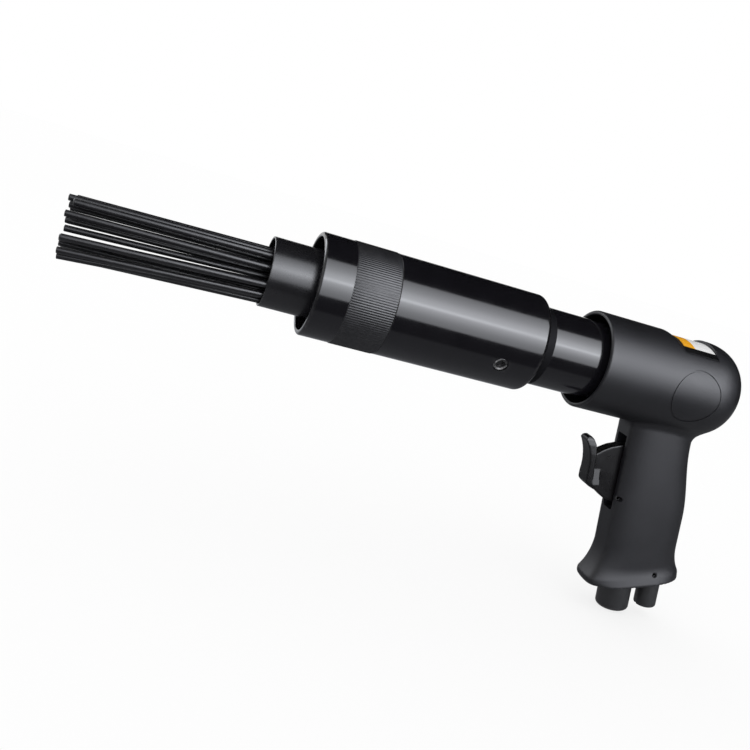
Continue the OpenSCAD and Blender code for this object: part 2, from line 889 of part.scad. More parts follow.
// The web's outline from the side: from the pad into the slot and down to the pivot
module web_outline() {
    front = -grip_front - pad_reach;
    top = slot_top + 5.6;
    low = pivot_drop - pad_rise;
    polygon([
        [front + pad_t, -top - 6.5],
        [front + 0.43 * pad_reach, -top - 3.3],
        [front + 0.69 * pad_reach, -top - 1.3],
        [-grip_front, -top - 0.1],
        [web_back, -top],
        [web_back, -pivot_drop],
        [pivot_x, -pivot_drop - 4],
        [-grip_front - 4.5, -pivot_drop - 1.6],
        [front + 7, -low - 4.6],
        [front + 4, -low - 2]
    ]);
}

module trigger() {
    boss_wall = 1.9;
    boss_r = trigger_pin_r + boss_wall;
    grip_frame()
        color("black")
            difference() {
                union() {
                    translate([0, pad_w / 2, 0])
                        rotate([90, 0, 0])
                            linear_extrude(height = pad_w)
                                pad_outline();
                    translate([0, web_half, 0])
                        rotate([90, 0, 0])
                            linear_extrude(height = 2 * web_half)
                                web_outline();
                    translate([pivot_x, web_half, -pivot_drop])
                        rotate([90, 0, 0])
                            cylinder(h = 2 * web_half, r = boss_r, $fn = 48);
                }
                translate([pivot_x, web_half + 1, -pivot_drop])
                    rotate([90, 0, 0])
                        cylinder(h = 2 * web_half + 2, r = trigger_pin_r + run_gap, $fn = 48);
            }
}

module trigger_pin() {
    pin_sunk = 0.2;
    front = pivot_x - trigger_pin_r;
    color("silver")
        cross_bar(pivot_x, pivot_drop, trigger_pin_r, side_at(front, pivot_drop) - pin_sunk);
}

module throttle_bushing() {
    color("darkgoldenrod")
        at_throttle()
            difference() {
                translate([0, 0, bush_front])
                    cylinder(h = throttle_bush, r = throttle_r);
                translate([0, 0, bush_front - 1])
                    cylinder(h = throttle_bush + 2, r = stem_r + run_gap);
            }
}

module throttle_stem() {
    head_gap = 0.9;
    tail_r = 1.2;
    tail_len = 3;
    color("silver")
        at_throttle()
            union() {
                translate([0, 0, stem_front])
                    cylinder(h = head_front - stem_front + 0.5, r = stem_r);
                translate([0, 0, head_front])
                    cylinder(h = head_len, r = throttle_r - head_gap);
                translate([0, 0, head_front + head_len - 0.5])
                    cylinder(h = tail_len + 0.5, r = tail_r, $fn = 48);
            }
}

module throttle_seal() {
    color("black")
        at_throttle()
            translate([0, 0, head_front - seal_wire / 2])
                rotate_extrude()
                    translate([stem_r + run_gap + seal_wire / 2, 0])
                        circle(r = seal_wire / 2, $fn = 24);
}

module throttle_spring() {
    start = head_front + head_len;
    coil_gap = 1.6;
    color("silver")
        at_throttle()
            translate([0, 0, start])
                coil(throttle_r - coil_gap, throttle_spring_wire, throttle_end - start,
                    throttle_spring_turns);
}

// Air inlet and regulator

module air_inlet() {
    bore_step = 1.2;
    edge = 1.5;
    color("dimgray")
        at_lip(-inlet_fore)
            difference() {
                union() {
                    translate([0, 0, -inlet_free_len])
                        cylinder(h = inlet_free_len - washer_t, r = inlet_r);
                    translate([0, 0, -washer_t - 1])
                        cylinder(h = inlet_shank + washer_t + 1, r = inlet_shank_r);
                }
                translate([0, 0, -inlet_free_len - 1])
                    cylinder(h = inlet_bore_len + 1, r = inlet_bore_r);
                translate([0, 0, -inlet_free_len])
                    cylinder(h = inlet_free_len + inlet_shank + 1, r = inlet_bore_r - bore_step);
                translate([0, 0, -inlet_free_len])
                    rotate_extrude()
                        difference() {
                            translate([inlet_r - edge, -1])
                                square(edge + 1);
                            translate([inlet_r - edge, edge])
                                circle(r = edge);
                        }
            }
}

module inlet_washer() {
    washer_in = 0.4;
    color("goldenrod")
        at_lip(-inlet_fore)
            translate([0, 0, -washer_t])
                difference() {
                    cylinder(h = washer_t, r = inlet_r - washer_in);
                    translate([0, 0, -1])
                        cylinder(h = washer_t + 2, r = inlet_shank_r + free_gap);
                }
}

// A drilled disc that keeps dirt out of the throttle
module inlet_screen() {
    screen_t = 0.8;
    hole_r = 0.7;
    hole_pitch = 2.2;
    color("silver")
        at_lip(-inlet_fore)
            translate([0, 0, inlet_shank])
                difference() {
                    cylinder(h = screen_t, r = inlet_shank_r);
                    for (ring = [1 : 2], i = [0 : 6 * ring - 1])
                        rotate([0, 0, 60 * i / ring])
                            translate([hole_pitch * ring, 0, -1])
                                cylinder(h = screen_t + 2, r = hole_r, $fn = 16);
                }
}

module regulator() {
    slot_cut = 2;
    slot_cut_depth = 1.6;
    groove_gap = 0.3;
    groove_w = 2 * (regulator_pin_r + groove_gap);
    edge = 1.2;
    color("dimgray")
        at_lip(regulator_aft)
            difference() {
                translate([0, 0, -regulator_free_len])
                    cylinder(h = regulator_free_len + regulator_shank, r = regulator_r);
                translate([0, 0, regulator_pin_up - groove_w / 2])
                    difference() {
                        cylinder(h = groove_w, r = regulator_r + 1);
                        translate([0, 0, -1])
                            cylinder(h = groove_w + 2, r = regulator_groove_r);
                    }
                translate([0, 0, regulator_shank - ring_drop - ring_groove / 2])
                    difference() {
                        cylinder(h = ring_groove, r = regulator_r + 1);
                        translate([0, 0, -1])
                            cylinder(h = ring_groove + 2, r = regulator_r - ring_depth);
                    }
                translate([-regulator_r - 1, 0, regulator_shank - bleed_drop])
                    rotate([0, 90, 0])
                        cylinder(h = regulator_r + 1, r = bleed_r, $fn = 32);
                translate([0, 0, -regulator_free_len])
                    rotate_extrude()
                        difference() {
                            translate([regulator_r - edge, -1])
                                square(edge + 1);
                            translate([regulator_r - edge, edge])
                                circle(r = edge);
                        }
                translate([-regulator_r - 1, -slot_cut / 2, -regulator_free_len - 1])
                    cube([2 * regulator_r + 2, slot_cut, slot_cut_depth + 1]);
            }
}

module regulator_seal() {
    ring_r = 0.55;
    color("black")
        at_lip(regulator_aft)
            translate([0, 0, regulator_shank - ring_drop])
                rotate_extrude()
                    translate([regulator_r - ring_depth + ring_r + 0.03, 0])
                        circle(r = ring_r, $fn = 24);
}

module regulator_pin() {
    drop = grip_len - regulator_pin_up;
    pin_sunk = 0.8;
    color("silver")
        cross_bar(regulator_pin_x, drop, regulator_pin_r, side_at(regulator_pin_x, drop) - pin_sunk);
}

needles();
needle_holder();
needle_spring();
nose_tube();
front_cap();
sleeve();
set_screw();
anvil();
barrel_bush();
barrel();
piston();
valve_cover();
valve_disc();
valve_case();
gun_housing();
label();
trigger();
trigger_pin();
throttle_bushing();
throttle_stem();
throttle_seal();
throttle_spring();
air_inlet();
inlet_washer();
inlet_screen();
regulator();
regulator_seal();
regulator_pin();
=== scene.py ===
import math

import bmesh
import bpy
import numpy as np
from mathutils import Matrix, Vector


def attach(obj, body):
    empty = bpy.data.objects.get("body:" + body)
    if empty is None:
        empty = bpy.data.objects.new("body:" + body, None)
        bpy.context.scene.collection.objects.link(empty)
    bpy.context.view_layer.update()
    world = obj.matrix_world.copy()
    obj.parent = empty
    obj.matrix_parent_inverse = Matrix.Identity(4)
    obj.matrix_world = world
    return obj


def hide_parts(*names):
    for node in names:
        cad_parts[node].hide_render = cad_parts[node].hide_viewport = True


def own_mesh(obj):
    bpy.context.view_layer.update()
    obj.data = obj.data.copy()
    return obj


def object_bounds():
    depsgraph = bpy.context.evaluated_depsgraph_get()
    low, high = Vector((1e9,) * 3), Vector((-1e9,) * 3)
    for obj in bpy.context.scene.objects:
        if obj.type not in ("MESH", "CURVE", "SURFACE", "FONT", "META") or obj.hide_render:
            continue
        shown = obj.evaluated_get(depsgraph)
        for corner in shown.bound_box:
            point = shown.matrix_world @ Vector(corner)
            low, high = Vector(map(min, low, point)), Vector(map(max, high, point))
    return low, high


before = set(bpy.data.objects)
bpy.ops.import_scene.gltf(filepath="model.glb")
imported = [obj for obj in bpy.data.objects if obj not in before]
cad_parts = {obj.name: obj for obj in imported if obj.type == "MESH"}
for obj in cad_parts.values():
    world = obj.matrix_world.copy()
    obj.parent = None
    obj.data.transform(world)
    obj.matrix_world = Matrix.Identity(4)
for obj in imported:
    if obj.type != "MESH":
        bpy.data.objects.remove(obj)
cad_low, cad_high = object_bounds()

# Needles: nineteen straight rods of hardened spring steel, 3 mm thick, drawn and blued black.
# Each has a turned head behind the drilled holder. The bundle is loose in the nose tube, so it
# hangs down a little and the tips are uneven.

HOLDER_REAR = -7.6
NOSE_FRONT = -97.5
TIP_FRONT = -187.5
NEEDLE_R = 1.5
HEAD_R = 2.3
HEAD_FRONT = 0.1
HEAD_REAR = 2.9
MM = 0.001


def turned(profile, steps=128, closed=True, corner_steps=5):
    """A wall turned about the x axis; profile is a list of (x, radius, corner radius) in millimetres.

    A long straight run gets a ring close to each end, which keeps the shading of its middle flat."""
    long_run, ring_gap = 2, 0.25
    bm = bmesh.new()
    line = [bm.verts.new((x, 0, r)) for x, r, _ in profile]
    count = len(line)
    for i in range(count if closed else count - 1):
        bm.edges.new((line[i], line[(i + 1) % count]))
    for vert, (_, _, corner) in zip(line, profile):
        if corner:
            bmesh.ops.bevel(bm, geom=[vert], offset=corner, offset_type="ABSOLUTE", affect="VERTICES",
                            segments=corner_steps, profile=0.5, material=-1)
    for edge in [e for e in bm.edges if e.calc_length() > long_run]:
        for end in edge.verts[:]:
            bmesh.utils.edge_split(edge, end, ring_gap / edge.calc_length())
    bmesh.ops.spin(bm, geom=bm.verts[:] + bm.edges[:], cent=(0, 0, 0), axis=(1, 0, 0),
                   angle=2 * math.pi, steps=steps, use_merge=True)
    bmesh.ops.remove_doubles(bm, verts=bm.verts, dist=1e-5)
    bmesh.ops.recalc_face_normals(bm, faces=bm.faces)
    return bm


def mark_edges(bm, sharp, corner=8):
    """Shades smooth up to the sharp angle, and notes the edges that turn outwards by more than corner
    degrees, where the finishes take a lighter colour that is part wear and part painted highlight."""
    wear_and_glint = bm.verts.layers.float.new("edge")
    for face in bm.faces:
        face.smooth = True
    for edge in bm.edges:
        angle = math.degrees(edge.calc_face_angle_signed(0)) if len(edge.link_faces) == 2 else 0
        edge.smooth = abs(angle) < sharp
        if angle > corner:
            for vert in edge.verts:
                vert[wear_and_glint] = 1


def make_piece(bm, name, body, material, slot, *nodes, sharp=35):
    """Turns a bmesh in millimetres into a piece in metres that rides on a body and stands for CAD nodes."""
    mark_edges(bm, sharp)
    bmesh.ops.scale(bm, vec=(MM, MM, MM), verts=bm.verts)
    mesh = bpy.data.meshes.new(name)
    bm.to_mesh(mesh)
    bm.free()
    mesh.materials.append(material)
    piece = bpy.data.objects.new(name, mesh)
    bpy.context.scene.collection.objects.link(piece)
    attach(piece, body)
    if nodes:
        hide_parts(*nodes)
    return piece


def wire(tree, source, target):
    tree.links.new(source, target)


def node(tree, kind, **values):
    made = tree.nodes.new(kind)
    for key, value in values.items():
        if key in made.inputs:
            made.inputs[key].default_value = value
        else:
            setattr(made, key, value)
    return made


def marks_group():
    """Faint tool marks and handling: lines across or along the piece, soft clouds of thinner coating, and
    broken spots on the marked edges, lighter as wear and as a painted highlight.
    """
    tree = bpy.data.node_groups.new("tool_marks", "ShaderNodeTree")
    face = tree.interface
    face.new_socket("Stretch", in_out="INPUT", socket_type="NodeSocketVector")
    face.new_socket("Clouds", in_out="INPUT", socket_type="NodeSocketFloat")
    face.new_socket("Line", in_out="OUTPUT", socket_type="NodeSocketFloat")
    face.new_socket("Cloud", in_out="OUTPUT", socket_type="NodeSocketFloat")
    face.new_socket("WearGlint", in_out="OUTPUT", socket_type="NodeSocketFloat")
    inside = tree.nodes.new("NodeGroupInput")
    outside = tree.nodes.new("NodeGroupOutput")
    place = node(tree, "ShaderNodeTexCoord")
    stretched = node(tree, "ShaderNodeVectorMath", operation="MULTIPLY")
    wire(tree, place.outputs["Object"], stretched.inputs[0])
    wire(tree, inside.outputs["Stretch"], stretched.inputs[1])
    lines = node(tree, "ShaderNodeTexNoise", Scale=1.0, Detail=3.0, Roughness=0.6)
    wire(tree, stretched.outputs["Vector"], lines.inputs["Vector"])
    clouds = node(tree, "ShaderNodeTexNoise", Detail=4.0, Roughness=0.62)
    wire(tree, place.outputs["Object"], clouds.inputs["Vector"])
    wire(tree, inside.outputs["Clouds"], clouds.inputs["Scale"])
    edge = node(tree, "ShaderNodeAttribute", attribute_name="edge")
    specks = node(tree, "ShaderNodeTexNoise", Scale=420.0, Detail=3.0, Roughness=0.7)
    wire(tree, place.outputs["Object"], specks.inputs["Vector"])
    broken = node(tree, "ShaderNodeMapRange")
    broken.inputs["From Min"].default_value = 0.42
    broken.inputs["From Max"].default_value = 0.68
    wire(tree, specks.outputs["Fac"], broken.inputs["Value"])
    glint_spots = node(tree, "ShaderNodeMath", operation="MULTIPLY")
    wire(tree, edge.outputs["Fac"], glint_spots.inputs[0])
    wire(tree, broken.outputs["Result"], glint_spots.inputs[1])
    wire(tree, lines.outputs["Fac"], outside.inputs["Line"])
    wire(tree, clouds.outputs["Fac"], outside.inputs["Cloud"])
    wire(tree, glint_spots.outputs["Value"], outside.inputs["WearGlint"])
    return tree


TOOL_MARKS = marks_group()


def finish_of(name, dark, light, rough, stretch, clouds, depth, metal=0.0, wear_and_glint=None, level=0.5):
    """A surface whose colour, gloss and relief come from its tool marks.

    Colours are linear; stretch and clouds are marks and patches per metre, and depth is in metres."""
    material = bpy.data.materials.new(name)
    material.use_nodes = True
    tree = material.node_tree
    shader = tree.nodes["Principled BSDF"]
    shader.inputs["Metallic"].default_value = metal
    shader.inputs["Specular IOR Level"].default_value = level
    marks = node(tree, "ShaderNodeGroup", node_tree=TOOL_MARKS)
    marks.inputs["Stretch"].default_value = stretch
    marks.inputs["Clouds"].default_value = clouds
    tone = node(tree, "ShaderNodeMix", data_type="RGBA")
    tone.inputs[6].default_value = (*dark, 1)
    tone.inputs[7].default_value = (*light, 1)
    wire(tree, marks.outputs["Cloud"], tone.inputs[0])
    colour = tone.outputs[2]
    # Painted highlight, partly wear: the marked outward edges take a lighter colour in broken spots.
    if wear_and_glint:
        edge_glint = node(tree, "ShaderNodeMix", data_type="RGBA")
        edge_glint.inputs[7].default_value = (*wear_and_glint, 1)
        wire(tree, marks.outputs["WearGlint"], edge_glint.inputs[0])
        wire(tree, colour, edge_glint.inputs[6])
        colour = edge_glint.outputs[2]
    wire(tree, colour, shader.inputs["Base Color"])
    gloss = node(tree, "ShaderNodeMapRange")
    gloss.inputs["From Min"].default_value = 0.3
    gloss.inputs["From Max"].default_value = 0.7
    gloss.inputs["To Min"].default_value = rough[0]
    gloss.inputs["To Max"].default_value = rough[1]
    wire(tree, marks.outputs["Cloud"], gloss.inputs["Value"])
    wire(tree, gloss.outputs["Result"], shader.inputs["Roughness"])
    relief = node(tree, "ShaderNodeBump", Strength=0.35, Distance=depth)
    wire(tree, marks.outputs["Line"], relief.inputs["Height"])
    wire(tree, relief.outputs["Normal"], shader.inputs["Normal"])
    return material


blued_wire = finish_of("blued_wire", dark=(0.0042, 0.004, 0.0056), light=(0.008, 0.0075, 0.0098),
                       rough=(0.26, 0.38), stretch=(60, 900, 900), clouds=160, depth=0.00001,
                       wear_and_glint=(0.03, 0.03, 0.031))

HOLDER_PITCH = 5.6
MOUTH_PITCH = 6.15
NEEDLE_HANG = 1.75
NEEDLE_TURN = 7.7
TIP_STAGGER = 3.0

# How far each needle leans sideways and up at the mouth, and its share of the tips' stagger,
# from the middle of the bundle outwards.
NEEDLE_LEANS = [(-1.43, -0.59, 0.32),
                (-2.87, 0.59, 0.11), (1.15, 1.14, 0.08), (0.52, -0.12, 1),
                (0.34, -2.09, 0), (-2.41, -3.37, 0.15), (-0.66, -1.36, 0.6),
                (0.12, -0.74, 0.06), (2.64, -0.41, 0), (1.81, -0.41, 0.8), (0.32, 0.27, 0),
                (-0.06, 0.36, 1), (0.66, 0.79, 0.22), (-0.96, -0.88, 0.43), (-1.02, -1.4, 0.18),
                (1.77, -0.42, 0.51), (-1.39, 1.68, 0), (-0.37, 0.41, 0.06), (0.7, -1.77, 0.97)]


def needle_places():
    """Ring, side and step of each needle in a bundle of one, six and twelve."""
    for ring in range(3):
        for side in range(6 if ring else 1):
            for step in range(max(ring, 1)):
                yield ring, side, step


def needle_mesh(length):
    """One needle along -x with its head behind x = 0 and its chamfered tip at -length."""
    bm = turned([(HEAD_REAR, 0, 0), (HEAD_REAR, HEAD_R, 0.4), (HEAD_FRONT, HEAD_R, 0.2),
                 (HEAD_FRONT, NEEDLE_R, 0), (-length, NEEDLE_R, 0.35), (-length, 0, 0)],
                steps=48, closed=False, corner_steps=3)
    mesh = bpy.data.meshes.new("one_needle")
    bm.to_mesh(mesh)
    bm.free()
    return mesh


bundle = bmesh.new()
reach = HOLDER_REAR - NOSE_FRONT
spread = MOUTH_PITCH - HOLDER_PITCH
for (ring, side, step), (lean_y, lean_z, back) in zip(needle_places(), NEEDLE_LEANS):
    a = math.radians(side * 60 + NEEDLE_TURN)
    b = a + math.radians(60)
    across = (ring - step) * math.cos(a) + step * math.cos(b)
    up = (ring - step) * math.sin(a) + step * math.sin(b)
    along = Vector((-reach, across * spread + lean_y, up * spread + lean_z - NEEDLE_HANG)).normalized()
    turn = Vector((-1, 0, 0)).rotation_difference(along).to_matrix().to_4x4()
    one = needle_mesh(HOLDER_REAR - TIP_FRONT - TIP_STAGGER * back)
    one.transform(Matrix.Translation((HOLDER_REAR, across * HOLDER_PITCH, up * HOLDER_PITCH)) @ turn)
    bundle.from_mesh(one)
    bpy.data.meshes.remove(one)
make_piece(bundle, "needle_bundle", "needle_pack", blued_wire, "needle_steel", "needles")

# Needle holder and spring: a drilled steel plate that the heads rest on, and a coil of spring wire
# between it and the nose tube's flange. Both are bare ground steel with a film of oil.

ground_steel = finish_of("ground_steel", dark=(0.3, 0.3, 0.31), light=(0.44, 0.44, 0.45),
                         rough=(0.22, 0.36), stretch=(900, 40, 40), clouds=60, depth=0.00003, metal=1.0)
spring_wire = finish_of("spring_wire", dark=(0.2, 0.2, 0.215), light=(0.34, 0.34, 0.35),
                        rough=(0.28, 0.42), stretch=(300, 300, 300), clouds=120, depth=0.00003,
                        metal=1.0)


def dress(material, *nodes):
    """Gives CAD nodes that keep their own shape the finish of the real piece."""
    for name in nodes:
        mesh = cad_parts[name].data
        mesh.materials.clear()
        mesh.materials.append(material)


def spring_piece(name, cad_node, body):
    """A coil of the CAD spring's shape that rides on a body in place of the CAD node."""
    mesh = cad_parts[cad_node].data.copy()
    mesh.name = name
    mesh.materials.clear()
    mesh.materials.append(spring_wire)
    coil = bpy.data.objects.new(name, mesh)
    bpy.context.scene.collection.objects.link(coil)
    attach(coil, body)
    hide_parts(cad_node)
    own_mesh(coil)


dress(ground_steel, "needle_holder")
spring_piece("needle_coil", "needle_spring", "nose")

# Nose tube: a thin drawn steel tube, blackened to a satin finish, with a flange inside the cap.
# Its front rim is turned thin, and its edge carries a painted highlight that makes it a little brighter.

satin_black = finish_of("satin_black", dark=(0.006, 0.0058, 0.0074), light=(0.011, 0.0107, 0.013),
                        rough=(0.22, 0.3), stretch=(1500, 30, 30), clouds=70, depth=0.00001,
                        wear_and_glint=(0.03, 0.03, 0.032))
NOSE_R = 16.6
NOSE_BORE_R = 15.6
FLANGE_R = 19.75
FLANGE_FRONT = -51.0
FLANGE_REAR = -47.0
nose = turned([(NOSE_FRONT, NOSE_R, 0.3), (FLANGE_FRONT, NOSE_R, 0), (FLANGE_FRONT, FLANGE_R, 0.3),
               (FLANGE_REAR, FLANGE_R, 0.3), (FLANGE_REAR, NOSE_BORE_R, 0.2),
               (NOSE_FRONT, NOSE_BORE_R, 0.3)], steps=160, corner_steps=4)
make_piece(nose, "nose_barrel", "nose", satin_black, "satin_black", "nose_tube")

# Front cap: turned from steel bar and blued to a gloss. It screws onto the sleeve, has a deep round
# recess in its face, and a band of fine straight knurling with bevelled ends to grip it by.

blued_gloss = finish_of("blued_gloss", dark=(0.0042, 0.004, 0.0054), light=(0.0078, 0.0075, 0.0098),
                        rough=(0.1, 0.16), stretch=(1800, 25, 25), clouds=45, depth=0.000006,
                        wear_and_glint=(0.018, 0.018, 0.019))
knurled_black = finish_of("knurled_black", dark=(0.006, 0.0058, 0.0078), light=(0.011, 0.0107, 0.0136),
                          rough=(0.34, 0.42), stretch=(900, 60, 60), clouds=120, depth=0.00001,
                          wear_and_glint=(0.016, 0.016, 0.018))
SLEEVE_R = 25.0
SLEEVE_FRONT = -38.8
CAP_FRONT = -76.4
CAP_REAR = -27.8
CAP_BORE_R = 20.05
SPIGOT_R = 21.5
NOSE_HOLE_R = 16.9
RECESS_R = 22.6
RECESS_FLOOR = -59.4
KNURL_FRONT = -61.0
KNURL_COUNT = 132
KNURL_R = 25.2
KNURL_ROOT_R = 24.88
cap = turned([(CAP_FRONT, SLEEVE_R, 1.2), (KNURL_FRONT, SLEEVE_R, 0.15),
              (KNURL_FRONT + 0.3, KNURL_ROOT_R, 0), (SLEEVE_FRONT, KNURL_ROOT_R - 0.1, 0),
              (SLEEVE_FRONT, SPIGOT_R, 0), (CAP_REAR, SPIGOT_R, 0.5),
              (CAP_REAR, CAP_BORE_R, 0), (FLANGE_FRONT, CAP_BORE_R, 0), (FLANGE_FRONT, NOSE_HOLE_R, 0.2),
              (RECESS_FLOOR, NOSE_HOLE_R, 0.4), (RECESS_FLOOR, RECESS_R, 0.8), (CAP_FRONT, RECESS_R, 0.5)],
             steps=240)


def grow(bm, rim):
    """Extrudes a rim of edges, and gives the new edges and vertices."""
    grown = bmesh.ops.extrude_edge_only(bm, edges=rim)["geom"]
    return ([item for item in grown if isinstance(item, bmesh.types.BMEdge)],
            [item for item in grown if isinstance(item, bmesh.types.BMVert)])


knurl = bmesh.new()
ridge = bmesh.ops.create_circle(knurl, segments=4 * KNURL_COUNT, radius=1)["verts"]
bmesh.ops.rotate(knurl, verts=ridge, cent=(0, 0, 0), matrix=Matrix.Rotation(math.radians(90), 3, "Y"))
flank_r = (KNURL_ROOT_R + KNURL_R) / 2
for index, vert in enumerate(ridge):
    vert.co = vert.co.normalized() * (KNURL_ROOT_R, flank_r, KNURL_R, flank_r)[index % 4]
bmesh.ops.translate(knurl, verts=knurl.verts, vec=(KNURL_FRONT + 0.1, 0, 0))
rim = knurl.edges[:]
for x in (KNURL_FRONT + 0.7, SLEEVE_FRONT - 0.75, SLEEVE_FRONT - 0.05):
    rim, ring = grow(knurl, rim)
    for vert in ring:
        vert.co.x = x
for vert in knurl.verts:
    if vert.co.x < KNURL_FRONT + 0.2 or vert.co.x > SLEEVE_FRONT - 0.2:
        inward = (KNURL_ROOT_R - 0.05) / math.hypot(vert.co.y, vert.co.z)
        vert.co.y *= inward
        vert.co.z *= inward
bmesh.ops.recalc_face_normals(knurl, faces=knurl.faces)
band = bpy.data.meshes.new("band")
knurl.to_mesh(band)
knurl.free()
cap.from_mesh(band)
for face in cap.faces:
    middle = face.calc_center_median()
    ridged = KNURL_FRONT < middle.x < SLEEVE_FRONT and math.hypot(middle.y, middle.z) > KNURL_ROOT_R - 0.3
    face.material_index = int(ridged)
piece = make_piece(cap, "knurled_cap", "cap", blued_gloss, "gloss_black", "front_cap", sharp=50)
piece.data.materials.append(knurled_black)

# Sleeve: a plain steel tube, turned, polished and blued like the cap. Its rear edge is well rounded,
# and a hex-socket screw through its left side, some way below the middle, locks it on the barrel.

SLEEVE_REAR = 40.1
SLEEVE_BORE_R = 21.6
SEAT_R = 20.25
BARREL_FRONT = 8.0
SCREW_R = 3.6
SCREW_X = 19.9
SCREW_DROP = 26.6
plain_rings = [(x, SLEEVE_R, 0) for x in (-4, 14, 26)]
sleeve = turned([(SLEEVE_FRONT, SLEEVE_R, 0.45)] + plain_rings
                + [(SLEEVE_REAR, SLEEVE_R, 2.9), (SLEEVE_REAR, SEAT_R, 0.4), (BARREL_FRONT, SEAT_R, 0),
                   (BARREL_FRONT, SLEEVE_BORE_R, 0), (SLEEVE_FRONT, SLEEVE_BORE_R, 0.2)],
                steps=288, corner_steps=10)


def cut(bm, *cutters):
    """Takes the cutters out of a mesh and gives the rest back as a bmesh."""
    targets = []
    for index, source in enumerate((bm, *cutters)):
        mesh = bpy.data.meshes.new("cut_%d" % index)
        source.to_mesh(mesh)
        source.free()
        targets.append(bpy.data.objects.new(mesh.name, mesh))
    whole = targets[0]
    bpy.context.scene.collection.objects.link(whole)
    tools = bpy.data.collections.new("cutters")
    bpy.context.scene.collection.children.link(tools)
    for tool in targets[1:]:
        tools.objects.link(tool)
    taken = whole.modifiers.new("taken", "BOOLEAN")
    taken.operation = "DIFFERENCE"
    taken.solver = "EXACT"
    taken.operand_type = "COLLECTION"
    taken.collection = tools
    ready = whole.evaluated_get(bpy.context.evaluated_depsgraph_get())
    result = bmesh.new()
    result.from_mesh(ready.to_mesh())
    ready.to_mesh_clear()
    for item in targets:
        bpy.data.objects.remove(item)
    bpy.data.collections.remove(tools)
    return result


SIDEWAYS = Matrix.Rotation(math.radians(90), 4, "X")
LENGTHWAYS = Matrix.Rotation(math.radians(90), 4, "Y")


def rod(r, length, place, steps=48):
    """A round bar along its own z axis, centred, put in place by a matrix."""
    bm = bmesh.new()
    bmesh.ops.create_cone(bm, cap_ends=True, segments=steps, radius1=r, radius2=r, depth=length)
    bmesh.ops.transform(bm, matrix=place, verts=bm.verts)
    return bm


screw_place = Matrix.Translation((SCREW_X, 0, 0)) @ Matrix.Rotation(math.radians(90 + SCREW_DROP), 4, "X")
sleeve = cut(sleeve, rod(SCREW_R + 0.15, 8, screw_place @ Matrix.Translation((0, 0, 24)), steps=64))
make_piece(sleeve, "sleeve_tube", "housing", blued_gloss, "gloss_black", "sleeve", sharp=40)

# Set screw: a blackened steel grub screw, run in just below the sleeve's surface and down to the
# barrel. Its hex socket is countersunk, and its edges carry a bright painted highlight in broken spots.

SCREW_TOP = 24.5
SINK_R = 2.4
SINK_FLOOR = 23.2
HEX_R = 2.2
screw = turned([(SEAT_R, 0, 0), (SEAT_R, SCREW_R, 0.3), (SCREW_TOP, SCREW_R, 0.6), (SCREW_TOP, SINK_R, 0.55),
                (SINK_FLOOR, SINK_R, 0), (SINK_FLOOR, 0, 0)], steps=64, closed=False)
bmesh.ops.rotate(screw, verts=screw.verts, cent=(0, 0, 0), matrix=Matrix.Rotation(math.radians(-90), 3, "Y"))
bmesh.ops.transform(screw, matrix=screw_place, verts=screw.verts)
screw = cut(screw, rod(HEX_R, 6, screw_place @ Matrix.Translation((0, 0, 25)), steps=6))
# Painted highlight: the screw's edges are painted light grey to stand for the bright ring round its socket.
glinting_black = finish_of("glinting_black", dark=(0.01, 0.01, 0.011), light=(0.02, 0.02, 0.022),
                       rough=(0.24, 0.34), stretch=(600, 600, 600), clouds=200, depth=0.00001,
                       wear_and_glint=(0.3, 0.3, 0.31))
make_piece(screw, "grub_screw", "housing", glinting_black, "satin_black", "set_screw")

# Anvil, bush, piston and valve: the hidden works. The hammer, anvil and valve parts are hardened and
# ground steel, and the anvil's shank runs in a bronze bush pressed into the barrel.

bearing_bronze = finish_of("bearing_bronze", dark=(0.32, 0.2, 0.08), light=(0.46, 0.3, 0.13),
                           rough=(0.28, 0.42), stretch=(700, 40, 40), clouds=80, depth=0.00003,
                           metal=1.0)
dress(ground_steel, "anvil", "piston", "valve_cover", "valve_disc", "valve_case")
dress(bearing_bronze, "barrel_bush")

# Barrel: the blued steel cylinder that the hammer runs in, polished outside. It screws into the housing,
# and its exhaust ports open into the housing's mouth. Beside the sleeve a dark matt band is painted on as
# shade.

BARREL_R = 20.2
BARREL_REAR = 122.0
BORE_R = 11.5
BUSH_R = 15.0
BUSH_REAR = 30.0
SHADE_BAND_END = 45.2
PORT_X = 82.4
PORT_R = 2.5
# Painted shade: a dark band with almost no reflection, on the barrel just behind the sleeve.
painted_shade_band = finish_of("painted_shade_band", dark=(0.003, 0.003, 0.004), light=(0.005, 0.005, 0.0064),
                        rough=(0.5, 0.62), stretch=(1500, 40, 40), clouds=90, depth=0.00003, level=0.06)
plain_rings = [(x, BARREL_R, 0) for x in (SHADE_BAND_END, 60, 78, 88)]
barrel = turned([(BARREL_FRONT, BARREL_R, 0.5)] + plain_rings
                + [(BARREL_REAR, BARREL_R, 0.5), (BARREL_REAR, BORE_R, 0), (BUSH_REAR, BORE_R, 0),
                   (BUSH_REAR, BUSH_R, 0), (BARREL_FRONT, BUSH_R, 0.3)], steps=224)
ports = []
for i in range(6):
    turn = Matrix.Rotation(math.radians(60 * (i + 0.5)), 4, "X")
    port_place = Matrix.Translation((PORT_X, 0, 0)) @ turn @ Matrix.Translation((0, 0, 16))
    ports.append(rod(PORT_R, 14, port_place, steps=32))
barrel = cut(barrel, *ports)
# The barrel's outside ahead of the band's end takes the painted shade.
for face in barrel.faces:
    middle = face.calc_center_median()
    face.material_index = int(middle.x < SHADE_BAND_END and math.hypot(middle.y, middle.z) > BARREL_R - 0.4)
piece = make_piece(barrel, "barrel_tube", "housing", blued_gloss, "gloss_black", "barrel", sharp=40)
piece.data.materials.append(painted_shade_band)

# Gun housing: one casting of light alloy with barrel end, grip and lip, blended into each other and
# powder-coated in a fine matt charcoal. The mouth, label bed, trigger slot, pin holes and the fine ring
# round the bare badge are machined.

